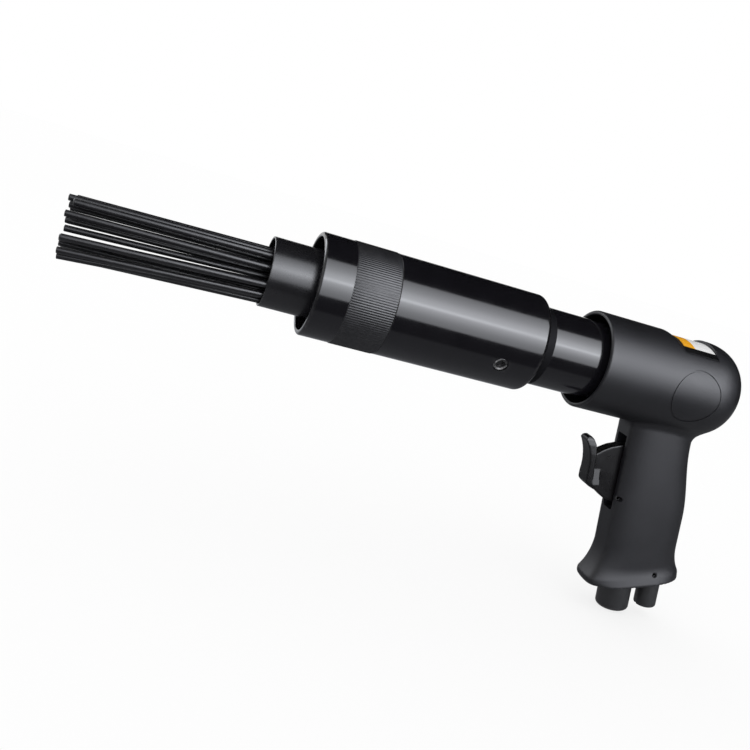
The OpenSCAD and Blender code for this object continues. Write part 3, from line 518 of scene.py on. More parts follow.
HOUSING_R = 25.75
ROUGH_FRONT = 66.0
MOUTH_X = 73.4
MOUTH_R = 23.6
MOUTH_FLOOR = 91.4
MOUTH_ROUND = 1.15
VALVE_R = 18.55
VALVE_REAR = 141.0
DOME_X = 138.5
DOME_LEN = 24.5
DOME_POWER = 2.4
GRIP_X = 123.6
RAKE = math.radians(10.5)
GRIP_TOP = 8.0
GRIP_LEN = 115.5
GRIP_LEVELS = (GRIP_TOP, 14, 20, 26, 32, 40, 50, 60, 70, 80, 90, 95, 100, 104, 108, 111, 113, GRIP_LEN)
GRIP_FRONT = 19.3
GRIP_REAR = 25.5
GRIP_HALF = 13.0
FRONT_FULL = 1.14
FRONT_POWER = 2.2
REAR_POWER = 3
WEB_HOLLOW = 5.3
SLOT_TOP = 31.0
SLOT_BACK = -8.4
SLOT_DEEP = 31.6
SLOT_WIDE = 9.0
SLOT_HEIGHT = 43.0
SLOT_ROUND = 1.8
CREASE_ROUND = 0.9
RIM_ROUND = 0.7
LIP_HEIGHT = 22.0
LIP_BAND = 4.2
LIP_SOFTER = 2.6
TOE_SOFTER = 2.1
FLARE_HEIGHT = 11.0
FLARE_BEND = 5.0
LIP_FRONT = 7.8
LIP_REAR = 4.1
LIP_SIDE = 2.3
LIP_TILT = math.tan(math.radians(5.2))
BADGE_X = 127.2
BADGE_Z = -1.6
BADGE_R = 13.7
GROOVE_HALF = 0.4
GROOVE_DEPTH = 0.35
BED_AXIS_Z = -7.55
BED_R = 31.6
BED_DEPTH = 1.7
BED_FRONT = 111.0
BED_RAMP = 6.5
BED_REAR = 138.0
BED_SPREAD = 88.0
PIVOT = (-17.8, 65.8)
PIVOT_HOLE_R = 1.5
STOP_PIN = (10.05, 108.5)
STOP_HOLE_R = 1.55
THROTTLE_R = 4.35
THROTTLE_LEN = 20.5
THROTTLE_PLACE = (1.35, 0, -47)
INLET_X = -4.5
INLET_HOLE_R = 7.95
INLET_SEAT_R = 9.6
REGULATOR_X = 16.6
REGULATOR_HOLE_R = 6.25
GRIP_FRAME = Matrix.Translation((GRIP_X, 0, 0)) @ Matrix.Rotation(-RAKE, 4, "Y")


def smooth_step(t):
    s = np.clip(t, 0, 1)
    return s * s * (3 - 2 * s)


def round_max(a, b, r):
    """The larger of two fields, with the edge between them rounded over r."""
    h = np.clip(0.5 + 0.5 * (a - b) / r, 0, 1)
    return b * (1 - h) + a * h + r * h * (1 - h)


def grip_sizes(g):
    """How far the grip reaches forward, rearward and sideways, g millimetres down from the tool's axis.

    It slims a little at the top, is hollowed behind for the web of the hand, and flares into the lip."""
    lip = np.clip((g - GRIP_LEN + LIP_HEIGHT) / (LIP_HEIGHT - LIP_BAND), 0, 1) ** 2
    slim = 1 - smooth_step((g - SLOT_TOP / 2) / (PIVOT[1] - SLOT_TOP / 2))
    above = 1 - 0.9 * smooth_step((SLOT_TOP + 2 - g) / 12)
    below = 1 - smooth_step((g - SLOT_TOP - 3) / (0.63 * GRIP_LEN - SLOT_TOP))
    hollow = np.where(g < SLOT_TOP, above, below)
    low = np.clip(g - GRIP_LEN + FLARE_HEIGHT, 0, FLARE_HEIGHT)
    flare = np.where(low < FLARE_BEND, low * low / (2 * FLARE_BEND), low - FLARE_BEND / 2)
    flare /= FLARE_HEIGHT - FLARE_BEND / 2
    fore = GRIP_FRONT - slim + LIP_FRONT * lip
    return fore, GRIP_REAR + LIP_REAR * lip - WEB_HOLLOW * hollow, GRIP_HALF + LIP_SIDE * flare


def foot_tilt(g):
    """The slope of the grip's levels, which tilt towards the lip's lower face."""
    return LIP_TILT * smooth_step((g - GRIP_LEN + LIP_HEIGHT) / LIP_HEIGHT)


def grip_field(p):
    """Roughly the distance outside the grip, for points in the tool's frame in millimetres."""
    dx, y, z = p[:, 0] - GRIP_X, np.abs(p[:, 1]), p[:, 2]
    across = dx * math.cos(RAKE) + z * math.sin(RAKE)
    down = dx * math.sin(RAKE) - z * math.cos(RAKE)
    g = down
    for _ in range(4):
        g = down + across * foot_tilt(g)
    fore, aft, side = grip_sizes(g)
    ahead = np.maximum(-across, 0) / (fore * FRONT_FULL)
    behind = np.maximum(across, 0) / aft
    wide = y / side
    front = (ahead ** FRONT_POWER + wide ** FRONT_POWER) ** (1 / FRONT_POWER)
    rear = (behind ** REAR_POWER + wide ** REAR_POWER) ** (1 / REAR_POWER)
    crease = CREASE_ROUND + LIP_SOFTER * smooth_step((g - GRIP_LEN + LIP_HEIGHT) / LIP_HEIGHT)
    wall = round_max((np.where(across < 0, front, rear) - 1) * side, -across - fore, crease)
    rim_round = RIM_ROUND + TOE_SOFTER * smooth_step((-across / fore - 0.5) / 0.4)
    return np.maximum(round_max(wall, g - GRIP_LEN, rim_round), GRIP_TOP - g)


def body_field(p):
    """Roughly the distance outside the round barrel end and its dome."""
    r = np.hypot(p[:, 1], p[:, 2]) / HOUSING_R
    beyond = np.maximum(p[:, 0] - DOME_X, 0) / DOME_LEN
    return ((beyond ** DOME_POWER + r ** DOME_POWER) ** (1 / DOME_POWER) - 1) * HOUSING_R


def housing_field(p):
    """Body and grip together, with a fillet between them."""
    a, b, blend = body_field(p), grip_field(p), 3.0
    h = np.clip(0.5 + 0.5 * (b - a) / blend, 0, 1)
    return b * (1 - h) + a * h - blend * h * (1 - h)


def even_out(bm):
    """Moves each vertex half way to the middle of its neighbours."""
    bmesh.ops.smooth_vert(bm, verts=bm.verts, factor=0.5, use_axis_x=True, use_axis_y=True, use_axis_z=True)


def settle(bm, field, rounds, keep):
    """Draws the vertices onto a field's surface and evens them out; keep says which ones aren't drawn."""
    bm.verts.ensure_lookup_table()
    probe, longest_move = 0.05, 1.5
    for _ in range(rounds):
        p = np.array([v.co for v in bm.verts])
        for _ in range(4):
            value = field(p)
            steps = np.eye(3) * probe
            slope = np.stack([(field(p + step) - field(p - step)) / (2 * probe) for step in steps], axis=1)
            move = value[:, None] * slope / np.maximum((slope ** 2).sum(1), 0.05)[:, None]
            move *= np.minimum(1, longest_move / np.maximum(np.linalg.norm(move, axis=1), 1e-6))[:, None]
            p -= np.where(keep(p)[:, None], 0, move)
        for vert, place in zip(bm.verts, p):
            vert.co = place
        even_out(bm)
    return bm


def fused(voxel, *forms):
    """Melts closed forms that overlap into one skin of even squares."""
    mesh = bpy.data.meshes.new("fused")
    whole = bmesh.new()
    for form in forms:
        form.to_mesh(mesh)
        form.free()
        whole.from_mesh(mesh)
    whole.to_mesh(mesh)
    whole.free()
    lump = bpy.data.objects.new("fused", mesh)
    bpy.context.scene.collection.objects.link(lump)
    skin = lump.modifiers.new("skin", "REMESH")
    skin.mode = "VOXEL"
    skin.voxel_size = voxel
    ready = lump.evaluated_get(bpy.context.evaluated_depsgraph_get())
    result = bmesh.new()
    result.from_mesh(ready.to_mesh())
    ready.to_mesh_clear()
    bpy.data.objects.remove(lump)
    return result


dome = [math.pi / 2 * i / 12 for i in range(1, 12)]
barrel_end = turned([(ROUGH_FRONT, 0, 0), (ROUGH_FRONT, HOUSING_R, 0), (DOME_X, HOUSING_R, 0)]
                    + [(DOME_X + DOME_LEN * math.sin(a) ** (2 / DOME_POWER),
                        HOUSING_R * math.cos(a) ** (2 / DOME_POWER), 0) for a in dome]
                    + [(DOME_X + DOME_LEN, 0, 0)], steps=96, closed=False)
grip = bmesh.new()
ring = bmesh.ops.create_circle(grip, segments=64, radius=1)["verts"]
angles = [math.atan2(vert.co.y, vert.co.x) for vert in ring]
rim = grip.edges[:]
square = 0.65
for g in GRIP_LEVELS:
    if g > GRIP_TOP:
        rim, ring = grow(grip, rim)
    fore, aft, side = (float(size) for size in grip_sizes(np.array(float(g))))
    for a, vert in zip(angles, ring):
        x = (aft if math.cos(a) > 0 else fore) * math.copysign(abs(math.cos(a)) ** square, math.cos(a))
        y = side * math.copysign(abs(math.sin(a)) ** square, math.sin(a))
        vert.co = (x, y, -g + x * float(foot_tilt(g)))
bmesh.ops.holes_fill(grip, edges=grip.edges)
bmesh.ops.transform(grip, matrix=GRIP_FRAME, verts=grip.verts)
bmesh.ops.recalc_face_normals(grip, faces=grip.faces)
housing = settle(fused(0.7, barrel_end, grip), housing_field, 4, lambda p: p[:, 0] < ROUGH_FRONT + 3)
clear_x, clear_r = 58, 31
mouth = turned([(clear_x, 0, 0), (clear_x, clear_r, 0), (MOUTH_X + MOUTH_ROUND, clear_r, 0),
                (MOUTH_X + MOUTH_ROUND, HOUSING_R + 0.01, 0), (MOUTH_X, HOUSING_R + 0.01, MOUTH_ROUND),
                (MOUTH_X, MOUTH_R, 0.7), (MOUTH_FLOOR, MOUTH_R, 1.0), (MOUTH_FLOOR, SEAT_R, 0),
                (BARREL_REAR, SEAT_R, 0), (BARREL_REAR, VALVE_R, 0), (VALVE_REAR, VALVE_R, 0),
                (VALVE_REAR, 0, 0)], steps=192, closed=False)
bed = bmesh.new()
clear_r = 36
ramp = [(BED_FRONT + BED_RAMP * i / 10, BED_R + BED_DEPTH * (1 - float(smooth_step(i / 10))))
        for i in range(11)]
outline = ramp + [(BED_REAR, BED_R), (BED_REAR, clear_r), (BED_FRONT, clear_r)]
section = bed.faces.new([bed.verts.new((x, 0, r)) for x, r in outline])
bmesh.ops.rotate(bed, verts=bed.verts, cent=(0, 0, 0),
                 matrix=Matrix.Rotation(math.radians(-BED_SPREAD / 2), 3, "X"))
bmesh.ops.spin(bed, geom=[section] + bed.edges[:] + bed.verts[:], cent=(0, 0, 0), axis=(1, 0, 0),
               angle=math.radians(BED_SPREAD), steps=72)
bmesh.ops.translate(bed, verts=bed.verts, vec=(0, 0, BED_AXIS_Z))
bmesh.ops.recalc_face_normals(bed, faces=bed.faces)
slot = bmesh.new()
bmesh.ops.create_cube(slot, size=1)
slot_middle = SLOT_TOP + SLOT_HEIGHT / 2
bmesh.ops.scale(slot, vec=(SLOT_DEEP, SLOT_WIDE, SLOT_HEIGHT), verts=slot.verts)
bmesh.ops.translate(slot, verts=slot.verts, vec=(SLOT_BACK - SLOT_DEEP / 2, 0, -slot_middle))
lower_sides = [edge for edge in slot.edges if all(vert.co.z < -slot_middle for vert in edge.verts)
               and abs(edge.verts[0].co.x - edge.verts[1].co.x) > SLOT_DEEP / 2]
bmesh.ops.bevel(slot, geom=lower_sides, offset=SLOT_ROUND, offset_type="OFFSET", affect="EDGES", segments=8,
                profile=0.5, material=-1)
bmesh.ops.transform(slot, matrix=GRIP_FRAME, verts=slot.verts)


def down_grip(x, r, length, middle):
    """A round bar along the grip, its centre middle millimetres above the lip."""
    return rod(r, length, GRIP_FRAME @ Matrix.Translation((x, 0, middle - GRIP_LEN)), 64)


def across_grip(x, g, r, length):
    """A round bar through the grip from side to side."""
    return rod(r, length, GRIP_FRAME @ Matrix.Translation((x, 0, -g)) @ SIDEWAYS, 40)


throttle_place = GRIP_FRAME @ Matrix.Translation(THROTTLE_PLACE) @ LENGTHWAYS
throttle_bore = rod(THROTTLE_R, THROTTLE_LEN, throttle_place)
badge_place = Matrix.Translation((BADGE_X, -22, BADGE_Z)) @ SIDEWAYS
core_place = Matrix.Translation((BADGE_X, 0, 0)) @ LENGTHWAYS
badge = cut(rod(BADGE_R + GROOVE_HALF, 12, badge_place, 128),
            rod(BADGE_R - GROOVE_HALF, 14, badge_place, 128),
            rod(HOUSING_R - GROOVE_DEPTH, 60, core_place, 256))
housing = cut(housing, mouth, bed, slot, badge)
housing = cut(housing, throttle_bore,
              down_grip(INLET_X, INLET_HOLE_R, length=19, middle=8.5),
              down_grip(INLET_X, INLET_SEAT_R, length=4, middle=-2),
              down_grip(REGULATOR_X, REGULATOR_HOLE_R, length=31, middle=14.5),
              across_grip(*PIVOT, PIVOT_HOLE_R, 40), across_grip(*STOP_PIN, STOP_HOLE_R, 40))
powder_coat = finish_of("powder_coat", dark=(0.0056, 0.0055, 0.0077), light=(0.0078, 0.0077, 0.0105),
                        rough=(0.4, 0.47), stretch=(1500, 1500, 1500), clouds=30, depth=0.00006,
                        wear_and_glint=(0.014, 0.014, 0.016), level=0.4)
make_piece(housing, "pistol_housing", "housing", powder_coat, "housing_grey", "gun_housing", sharp=32)

# Label: a printed film laid in the machined bed on top, with a black ground and two plain blocks,
# orange at the front and white behind, under a clear gloss layer.

FILM_FRONT = 117.9
FILM_REAR = 137.6
FILM_SPREAD = 64.8
FILM_THICK = 0.2
BLOCK_FRONT = 0.1178
BLOCK_SPLIT = 0.1248
BLOCK_REAR = 0.1374
BLOCK_HALF = 0.0133
ORANGE = (0.95, 0.43, 0.01)
WHITE = (0.9, 0.9, 0.9)
label_print = finish_of("label_print", dark=(0.004, 0.004, 0.0045), light=(0.007, 0.007, 0.008),
                        rough=(0.24, 0.34), stretch=(500, 500, 500), clouds=90, depth=0.00001)
tree = label_print.node_tree
shader = tree.nodes["Principled BSDF"]
place = node(tree, "ShaderNodeTexCoord")
split = node(tree, "ShaderNodeSeparateXYZ")
wire(tree, place.outputs["Object"], split.inputs[0])


def between(source, low, high):
    """1 where a value lies between two limits, with a hair's breadth of soft edge; all in metres."""
    soft = 0.00006
    above = node(tree, "ShaderNodeMapRange")
    below = node(tree, "ShaderNodeMapRange")
    for step, limit in ((above, low), (below, high)):
        step.inputs["From Min"].default_value = limit - soft
        step.inputs["From Max"].default_value = limit + soft
        wire(tree, source, step.inputs["Value"])
    below.inputs["To Min"].default_value = 1
    below.inputs["To Max"].default_value = 0
    joined = node(tree, "ShaderNodeMath", operation="MULTIPLY")
    wire(tree, above.outputs["Result"], joined.inputs[0])
    wire(tree, below.outputs["Result"], joined.inputs[1])
    return joined.outputs["Value"]


ink = shader.inputs["Base Color"].links[0].from_socket
for colour, front, rear in ((ORANGE, BLOCK_FRONT, BLOCK_SPLIT), (WHITE, BLOCK_SPLIT, BLOCK_REAR)):
    block = node(tree, "ShaderNodeMath", operation="MULTIPLY")
    wire(tree, between(split.outputs["X"], front, rear), block.inputs[0])
    wire(tree, between(split.outputs["Y"], -BLOCK_HALF, BLOCK_HALF), block.inputs[1])
    printed = node(tree, "ShaderNodeMix", data_type="RGBA")
    printed.inputs[7].default_value = (*colour, 1)
    wire(tree, block.outputs["Value"], printed.inputs[0])
    wire(tree, ink, printed.inputs[6])
    ink = printed.outputs[2]
wire(tree, ink, shader.inputs["Base Color"])
film = bmesh.new()
line = [film.verts.new((x, 0, BED_R + 0.03)) for x in (FILM_FRONT, FILM_REAR)]
film.edges.new(line)
bmesh.ops.rotate(film, verts=film.verts, cent=(0, 0, 0),
                 matrix=Matrix.Rotation(math.radians(-FILM_SPREAD / 2), 3, "X"))
bmesh.ops.spin(film, geom=film.verts[:] + film.edges[:], cent=(0, 0, 0), axis=(1, 0, 0),
               angle=math.radians(FILM_SPREAD), steps=80)
bmesh.ops.translate(film, verts=film.verts, vec=(0, 0, BED_AXIS_Z))
bmesh.ops.recalc_face_normals(film, faces=film.faces)
if film.faces[:][0].normal.z < 0:
    bmesh.ops.reverse_faces(film, faces=film.faces)
bmesh.ops.solidify(film, geom=film.faces, thickness=-FILM_THICK)
bmesh.ops.recalc_face_normals(film, faces=film.faces)
make_piece(film, "label_film", "housing", label_print, "label_print", "label")

# Trigger and its pin: a moulded nylon lever with a hollow finger pad and a horn at its top, whose web
# swings in the grip's slot on a steel roll pin.

PAD_FRONT = -37.6
PAD_TOP = -34.4
PAD_LOW = -56.4
HORN_TOP = -32.3
WEB_BACK = -12.9
WEB_HALF = 3.4
BOSS_R = 3.15
PLATE_HALF = 4.0
lever_line = [(PAD_FRONT - 1.9, HORN_TOP), (PAD_FRONT - 3.2, -33.0)]
for i in range(13):
    s = i / 12
    hollow = 2.1 * math.sin(math.pi * s ** 0.85) - 2.3 * (1 - s) - 1.2 * (1 - s) ** 0.6
    lever_line.append((PAD_FRONT + hollow, PAD_TOP + (PAD_LOW - PAD_TOP) * s))
foot = [(-0.05, 1.2), (0.6, 2.4), (2.3, 3.9), (4.4, 5.0), (7, 6.2)]
web = [(-24.7, -67.4), (PIVOT[0], -69.8), (WEB_BACK, -PIVOT[1]), (WEB_BACK, -36.6), (-20.2, -36.7)]
pad_rear = [(12, -37.9), (7.5, -39.9), (3.4, -42.4), (3.3, -39.6), (2.7, -36.6), (1.2, -33.8),
            (-0.4, HORN_TOP)]
lever_line += [(PAD_FRONT + back, PAD_LOW - down) for back, down in foot]
lever_line += web + [(PAD_FRONT + back, z) for back, z in pad_rear]


def plate(line, half):
    """A flat plate in the grip's frame, from a side outline and half its width."""
    bm = bmesh.new()
    side = bm.faces.new([bm.verts.new((x, -half, z)) for x, z in line])
    grown = bmesh.ops.extrude_face_region(bm, geom=[side])["geom"]
    far_side = [item for item in grown if isinstance(item, bmesh.types.BMVert)]
    bmesh.ops.translate(bm, verts=far_side, vec=(0, 2 * half, 0))
    bmesh.ops.recalc_face_normals(bm, faces=bm.faces)
    bmesh.ops.triangulate(bm, faces=bm.faces)
    return bm


def lever_half(x, z):
    """Half the lever's width: a broad pad, a slanted cheek behind its foot, and the thinner web."""
    behind = x - PAD_FRONT
    pad = np.interp(-z, (32, 34, 37, 42, 58), (2.6, 3.8, 4.5, 4.8, 4.9))
    foot = 1.9 * np.clip((-z - 50.5) / 8.5, 0, 1) * (1 - smooth_step((behind - 7.6) / 0.7))
    share = smooth_step((behind - 3.3) / 0.8)
    return pad * (1 - share) + (WEB_HALF + foot) * share


boss = rod(BOSS_R, 2 * PLATE_HALF, Matrix.Translation((PIVOT[0], 0, -PIVOT[1])) @ SIDEWAYS)
lever = fused(0.35, plate(lever_line, PLATE_HALF), boss)
for _ in range(5):
    even_out(lever)
for vert in lever.verts:
    vert.co.y *= float(lever_half(vert.co.x, vert.co.z)) / PLATE_HALF
bmesh.ops.transform(lever, matrix=GRIP_FRAME, verts=lever.verts)
lever = cut(lever, across_grip(*PIVOT, PIVOT_HOLE_R, 20))
moulded_nylon = finish_of("moulded_nylon", dark=(0.003, 0.0027, 0.0033), light=(0.005, 0.0045, 0.0053),
                          rough=(0.24, 0.32), stretch=(900, 900, 900), clouds=60, depth=0.00003,
                          wear_and_glint=(0.006, 0.006, 0.0065), level=0.3)
make_piece(lever, "finger_lever", "trigger", moulded_nylon, "trigger_black", "trigger", sharp=60)


def roll_pin(r, half):
    """A rolled spring pin along the x axis: a hollow tube with softened ends."""
    bore = 0.55 * r
    return turned([(-half, r, 0.25), (half, r, 0.25), (half, bore, 0.12), (-half, bore, 0.12)],
                  steps=40, corner_steps=3)


def pin_across(bm, x, g):
    """Turns a pin crosswise and sets it in the grip."""
    turn = GRIP_FRAME @ Matrix.Translation((x, 0, -g)) @ Matrix.Rotation(math.radians(90), 4, "Z")
    bmesh.ops.transform(bm, matrix=turn, verts=bm.verts)
    return bm


lever_pin = pin_across(roll_pin(r=1.45, half=6.6), *PIVOT)
make_piece(lever_pin, "lever_pin", "housing", satin_black, "satin_black", "trigger_pin")

# Throttle: the small valve that the trigger pushes open, with a bronze bushing, steel stem and spring,
# and a rubber ring. All of it is inside the grip.

seal_rubber = finish_of("seal_rubber", dark=(0.012, 0.012, 0.012), light=(0.022, 0.022, 0.022),
                        rough=(0.55, 0.7), stretch=(800, 800, 800), clouds=120, depth=0.00004)
dress(bearing_bronze, "throttle_bushing")
dress(ground_steel, "throttle_stem")
spring_piece("throttle_coil", "throttle_spring", "housing")
dress(seal_rubber, "throttle_seal")

# Air inlet: a turned steel bushing screwed into the lip over a bronze washer, with the hose thread
# inside and a drilled dirt screen behind it. Its outside is phosphated dark grey.

phosphated = finish_of("phosphated", dark=(0.012, 0.012, 0.0135), light=(0.02, 0.02, 0.022),
                       rough=(0.34, 0.46), stretch=(1200, 1200, 300), clouds=90, depth=0.00003,
                       wear_and_glint=(0.05, 0.05, 0.053))


def under_lip(bm, x):
    """Stands a piece turned about x along the grip, with x = 0 at the lip and x growing downwards."""
    turn = GRIP_FRAME @ Matrix.Translation((x, 0, -GRIP_LEN)) @ LENGTHWAYS
    bmesh.ops.transform(bm, matrix=turn, verts=bm.verts)
    return bm


INLET_TOP = -17.0
INLET_END = 18.2
INLET_R = 9.2
SHANK_R = 7.9
SHOULDER = 1.0
THREAD_FRONT = 16.6
THREAD_FLOOR = 3.2
THREAD_PITCH = 1.4
CREST_R = 5.72
ROOT_R = 6.25
AIR_R = 4.52
thread = []
for i in range(9):
    crest = THREAD_FRONT - THREAD_PITCH * i
    thread += [(crest, CREST_R, 0), (crest - THREAD_PITCH / 2, ROOT_R, 0)]
inlet = turned([(INLET_TOP, SHANK_R, 0.4), (SHOULDER, SHANK_R, 0), (SHOULDER, INLET_R, 0.3),
                (INLET_END, INLET_R, 1.5), (INLET_END, 6.6, 0.3)] + thread
               + [(THREAD_FLOOR, CREST_R, 0), (THREAD_FLOOR, AIR_R, 0), (INLET_TOP, AIR_R, 0.3)], steps=112)
make_piece(under_lip(inlet, INLET_X), "inlet_bushing", "housing", phosphated, "fitting_grey", "air_inlet")
dress(bearing_bronze, "inlet_washer")
dress(ground_steel, "inlet_screen")

# Regulator: a turned stem behind the inlet that throttles the air through a cross hole, with a screwdriver
# slot in its end. A rubber ring seals it, and a steel roll pin in a groove keeps it in the lip.

STEM_TOP = -29.0
STEM_END = 18.0
STEM_R = 6.2
DRIVER_SLOT = (16, 2, 3.2)
BLEED_R = 2.0
BLEED_PLACE = (13, 0, 25 - GRIP_LEN)
SEAL_GROOVE = [(-19.6, STEM_R, 0), (-19.6, 5.0, 0), (-18, 5.0, 0), (-18, STEM_R, 0)]
PIN_GROOVE = [(-8.8, STEM_R, 0), (-8.8, 4.85, 0), (-5.2, 4.85, 0), (-5.2, STEM_R, 0.2)]
stem = turned([(STEM_TOP, 0, 0), (STEM_TOP, STEM_R, 0.5)] + SEAL_GROOVE + PIN_GROOVE
              + [(STEM_END, STEM_R, 1.2), (STEM_END, 0, 0)], steps=96, closed=False)
stem = under_lip(stem, REGULATOR_X)
driver_slot = bmesh.new()
bmesh.ops.create_cube(driver_slot, size=1)
bmesh.ops.scale(driver_slot, vec=DRIVER_SLOT, verts=driver_slot.verts)
slot_place = GRIP_FRAME @ Matrix.Translation((REGULATOR_X, 0, -GRIP_LEN - STEM_END))
bmesh.ops.transform(driver_slot, matrix=slot_place, verts=driver_slot.verts)
bleed = rod(BLEED_R, 7.2, GRIP_FRAME @ Matrix.Translation(BLEED_PLACE) @ LENGTHWAYS, 32)
stem = cut(stem, driver_slot, bleed)
make_piece(stem, "regulator_stem", "regulator", phosphated, "fitting_grey", "regulator")
dress(seal_rubber, "regulator_seal")
stop_pin = pin_across(roll_pin(r=1.5, half=12.7), *STOP_PIN)
make_piece(stop_pin, "stop_pin", "housing", satin_black, "satin_black", "regulator_pin")

# Studio: a plain white floor and bright surround. Only the gloss sees the rest: a soft box in front of the
# tool and a smaller one behind it, a dim sheet on the floor with painted shade, and dark cards over the tool
# and beside it.


def card(name, radius, low, high, x_from, x_to):
    """A sheet bent round the tool's axis between two elevations in front of it, in metres."""
    bm = bmesh.new()
    line = [bm.verts.new((x, -radius, 0)) for x in (x_from, x_to)]
    bm.edges.new(line)
    bmesh.ops.rotate(bm, verts=bm.verts, cent=(0, 0, 0), matrix=Matrix.Rotation(math.radians(-low), 3, "X"))
    bmesh.ops.spin(bm, geom=bm.verts[:] + bm.edges[:], cent=(0, 0, 0), axis=(1, 0, 0),
                   angle=math.radians(low - high), steps=48)
    mesh = bpy.data.meshes.new(name)
    bm.to_mesh(mesh)
    bm.free()
    sheet = bpy.data.objects.new(name, mesh)
    bpy.context.scene.collection.objects.link(sheet)
    return sheet


def only_gloss(sheet):
    """Hides a sheet from everything but reflections."""
    sheet.visible_camera = False
    sheet.visible_diffuse = False
    sheet.visible_shadow = False
    sheet.visible_transmission = False


def lamp_sheet(name, stops, fade=(-3, -2)):
    """A glowing sheet; stops are its (degrees, strength) by elevation round the tool's axis.

    It comes up from a tenth to full strength along x between the two ends of the fade, in metres."""
    material = bpy.data.materials.new(name)
    material.use_nodes = True
    tree = material.node_tree
    tree.nodes.clear()
    out = node(tree, "ShaderNodeOutputMaterial")
    glow = node(tree, "ShaderNodeEmission", Color=(0.92, 0.945, 1, 1))
    place = node(tree, "ShaderNodeTexCoord")
    split = node(tree, "ShaderNodeSeparateXYZ")
    back = node(tree, "ShaderNodeMath", operation="MULTIPLY")
    back.inputs[1].default_value = -1
    angle = node(tree, "ShaderNodeMath", operation="ARCTAN2")
    wire(tree, place.outputs["Object"], split.inputs[0])
    wire(tree, split.outputs["Y"], back.inputs[0])
    wire(tree, split.outputs["Z"], angle.inputs[0])
    wire(tree, back.outputs["Value"], angle.inputs[1])
    ramp = node(tree, "ShaderNodeFloatCurve")
    spread = node(tree, "ShaderNodeMapRange")
    spread.inputs["From Min"].default_value = math.radians(stops[0][0])
    spread.inputs["From Max"].default_value = math.radians(stops[-1][0])
    wire(tree, angle.outputs["Value"], spread.inputs["Value"])
    wire(tree, spread.outputs["Result"], ramp.inputs["Value"])
    most = max(s for _, s in stops)
    curve = ramp.mapping.curves[0]
    while len(curve.points) < len(stops):
        curve.points.new(0.5, 0.5)
    for point, (degrees, strength) in zip(curve.points, stops):
        point.location = ((degrees - stops[0][0]) / (stops[-1][0] - stops[0][0]), strength / most)
        point.handle_type = "AUTO_CLAMPED"
    ramp.mapping.update()
    side = node(tree, "ShaderNodeMapRange", interpolation_type="SMOOTHSTEP")
    side.inputs["From Min"].default_value = fade[0]
    side.inputs["From Max"].default_value = fade[1]
    side.inputs["To Min"].default_value = 0.1 * most
    side.inputs["To Max"].default_value = most
    wire(tree, split.outputs["X"], side.inputs["Value"])
    power = node(tree, "ShaderNodeMath", operation="MULTIPLY")
    wire(tree, side.outputs["Result"], power.inputs[1])
    wire(tree, ramp.outputs["Value"], power.inputs[0])
    wire(tree, power.outputs["Value"], glow.inputs["Strength"])
    wire(tree, glow.outputs["Emission"], out.inputs["Surface"])
    return material


soft_box = card("soft_box", radius=0.75, low=-18, high=70, x_from=-0.55, x_to=0.95)
box_stops = [(-18, 2.9), (-11, 3.3), (1, 4.3), (13, 6.7), (21, 9.0), (25, 13.0), (29, 10.2), (37, 8.6),
             (49, 5.8), (61, 4.0), (70, 2.8)]
soft_box.data.materials.append(lamp_sheet("soft_box", box_stops, fade=(-0.3, 0.12)))
only_gloss(soft_box)
back_box = card("back_box", radius=0.8, low=112, high=190, x_from=-1.1, x_to=-0.5)
back_box.data.materials.append(lamp_sheet("back_box", [(112, 1.5), (150, 6.0), (170, 3.0)]))
only_gloss(back_box)
dark_cloth = bpy.data.materials.new("dark_cloth")
dark_cloth.use_nodes = True
shader = dark_cloth.node_tree.nodes["Principled BSDF"]
shader.inputs["Base Color"].default_value = (0.004, 0.004, 0.004, 1)
shader.inputs["Specular IOR Level"].default_value = 0
flag = card("flag", radius=0.72, low=69, high=166, x_from=-0.3, x_to=1.2)
flag.data.materials.append(dark_cloth)
only_gloss(flag)

FLOOR_Z = float(cad_low.z)
FLOOR_GLOW = 0.78
sheet = bmesh.new()
bmesh.ops.create_grid(sheet, x_segments=1, y_segments=1, size=6)
bmesh.ops.translate(sheet, verts=sheet.verts, vec=(0, 0, FLOOR_Z))
floor_mesh = bpy.data.meshes.new("floor")
sheet.to_mesh(floor_mesh)
sheet.free()
floor = bpy.data.objects.new("floor", floor_mesh)
bpy.context.scene.collection.objects.link(floor)
paper = bpy.data.materials.new("paper")
paper.use_nodes = True
tree = paper.node_tree
shader = tree.nodes["Principled BSDF"]
shader.inputs["Base Color"].default_value = (0.97, 0.97, 0.97, 1)
shader.inputs["Roughness"].default_value = 0.9
shader.inputs["Specular IOR Level"].default_value = 0.1
glow = node(tree, "ShaderNodeEmission")
path = node(tree, "ShaderNodeLightPath")
seen = node(tree, "ShaderNodeMath", operation="MAXIMUM")
wire(tree, path.outputs["Is Camera Ray"], seen.inputs[0])
wire(tree, path.outputs["Is Glossy Ray"], seen.inputs[1])
through = node(tree, "ShaderNodeMath", operation="MAXIMUM")
wire(tree, seen.outputs["Value"], through.inputs[0])
wire(tree, path.outputs["Is Transmission Ray"], through.inputs[1])
share = node(tree, "ShaderNodeMath", operation="MULTIPLY")
share.inputs[1].default_value = FLOOR_GLOW
wire(tree, through.outputs["Value"], share.inputs[0])
lifted = node(tree, "ShaderNodeMixShader")
wire(tree, share.outputs["Value"], lifted.inputs[0])
wire(tree, shader.outputs["BSDF"], lifted.inputs[1])
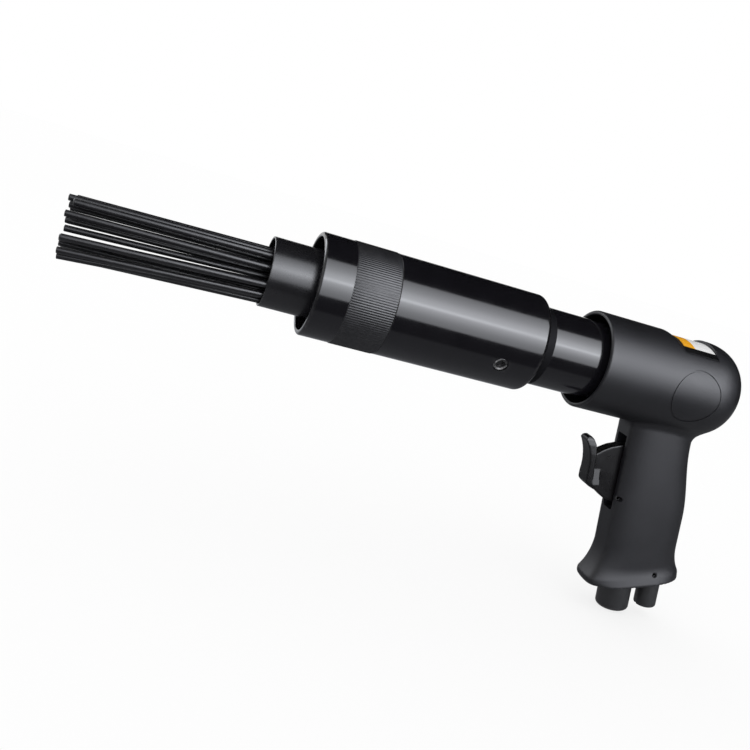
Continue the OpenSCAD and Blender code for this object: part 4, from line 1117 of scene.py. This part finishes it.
wire(tree, glow.outputs["Emission"], lifted.inputs[2])
wire(tree, lifted.outputs["Shader"], tree.nodes["Material Output"].inputs["Surface"])
floor_mesh.materials.append(paper)


def flat_card(name, material, place, size):
    """A flat sheet that only the gloss sees, put in place by a matrix; size is its two sides in metres."""
    bm = bmesh.new()
    bmesh.ops.create_grid(bm, x_segments=1, y_segments=1, size=0.5)
    bmesh.ops.scale(bm, vec=(*size, 1), verts=bm.verts)
    bmesh.ops.transform(bm, matrix=place, verts=bm.verts)
    mesh = bpy.data.meshes.new(name)
    bm.to_mesh(mesh)
    bm.free()
    mesh.materials.append(material)
    sheet = bpy.data.objects.new(name, mesh)
    bpy.context.scene.collection.objects.link(sheet)
    only_gloss(sheet)


# Painted shade: the floor that the gloss sees glows dimmer under and in front of the tool, darkest in a
# strip just in front.
floor_stops = [(-168, 0.7), (-155, 0.42), (-143, 0.27), (-131, 0.2), (-110, 0.22), (-90, 0.26), (-47, 0.26),
               (-40, 0.05), (-13, 0.05)]
shaded_floor = lamp_sheet("shaded_floor", floor_stops)
sheet_place = Matrix.Translation((0.1, 0.3, FLOOR_Z + 0.001))
flat_card("painted_floor_shade", shaded_floor, sheet_place, size=(2.4, 2.0))
flag_place = Matrix.Translation((1.05, -0.2, 0.7)) @ LENGTHWAYS
flat_card("side_flag", dark_cloth, flag_place, size=(1.7, 3.2))

world = bpy.data.worlds.new("bright_room")
world.use_nodes = True
sky = world.node_tree.nodes["Background"]
sky.inputs["Color"].default_value = (1, 1, 1, 1)
sky.inputs["Strength"].default_value = 1.0
bpy.context.scene.world = world
bpy.context.scene.view_settings.view_transform = "Standard"

# Camera: at the photo's angle, a little above the tool and rolled, with a normal lens. Its place and lens
# were fitted to the edges of the round pieces in the photo.

lens = bpy.data.cameras.new("camera")
lens.lens = 40.614
lens.sensor_width = 36
lens.clip_start = 0.01
camera = bpy.data.objects.new("camera", lens)
camera.location = (-0.14873, -0.39184, 0.04791)
camera.rotation_euler = [math.radians(a) for a in (77.9548, -16.9453, -13.0171)]
bpy.context.scene.collection.objects.link(camera)
bpy.context.scene.camera = camera
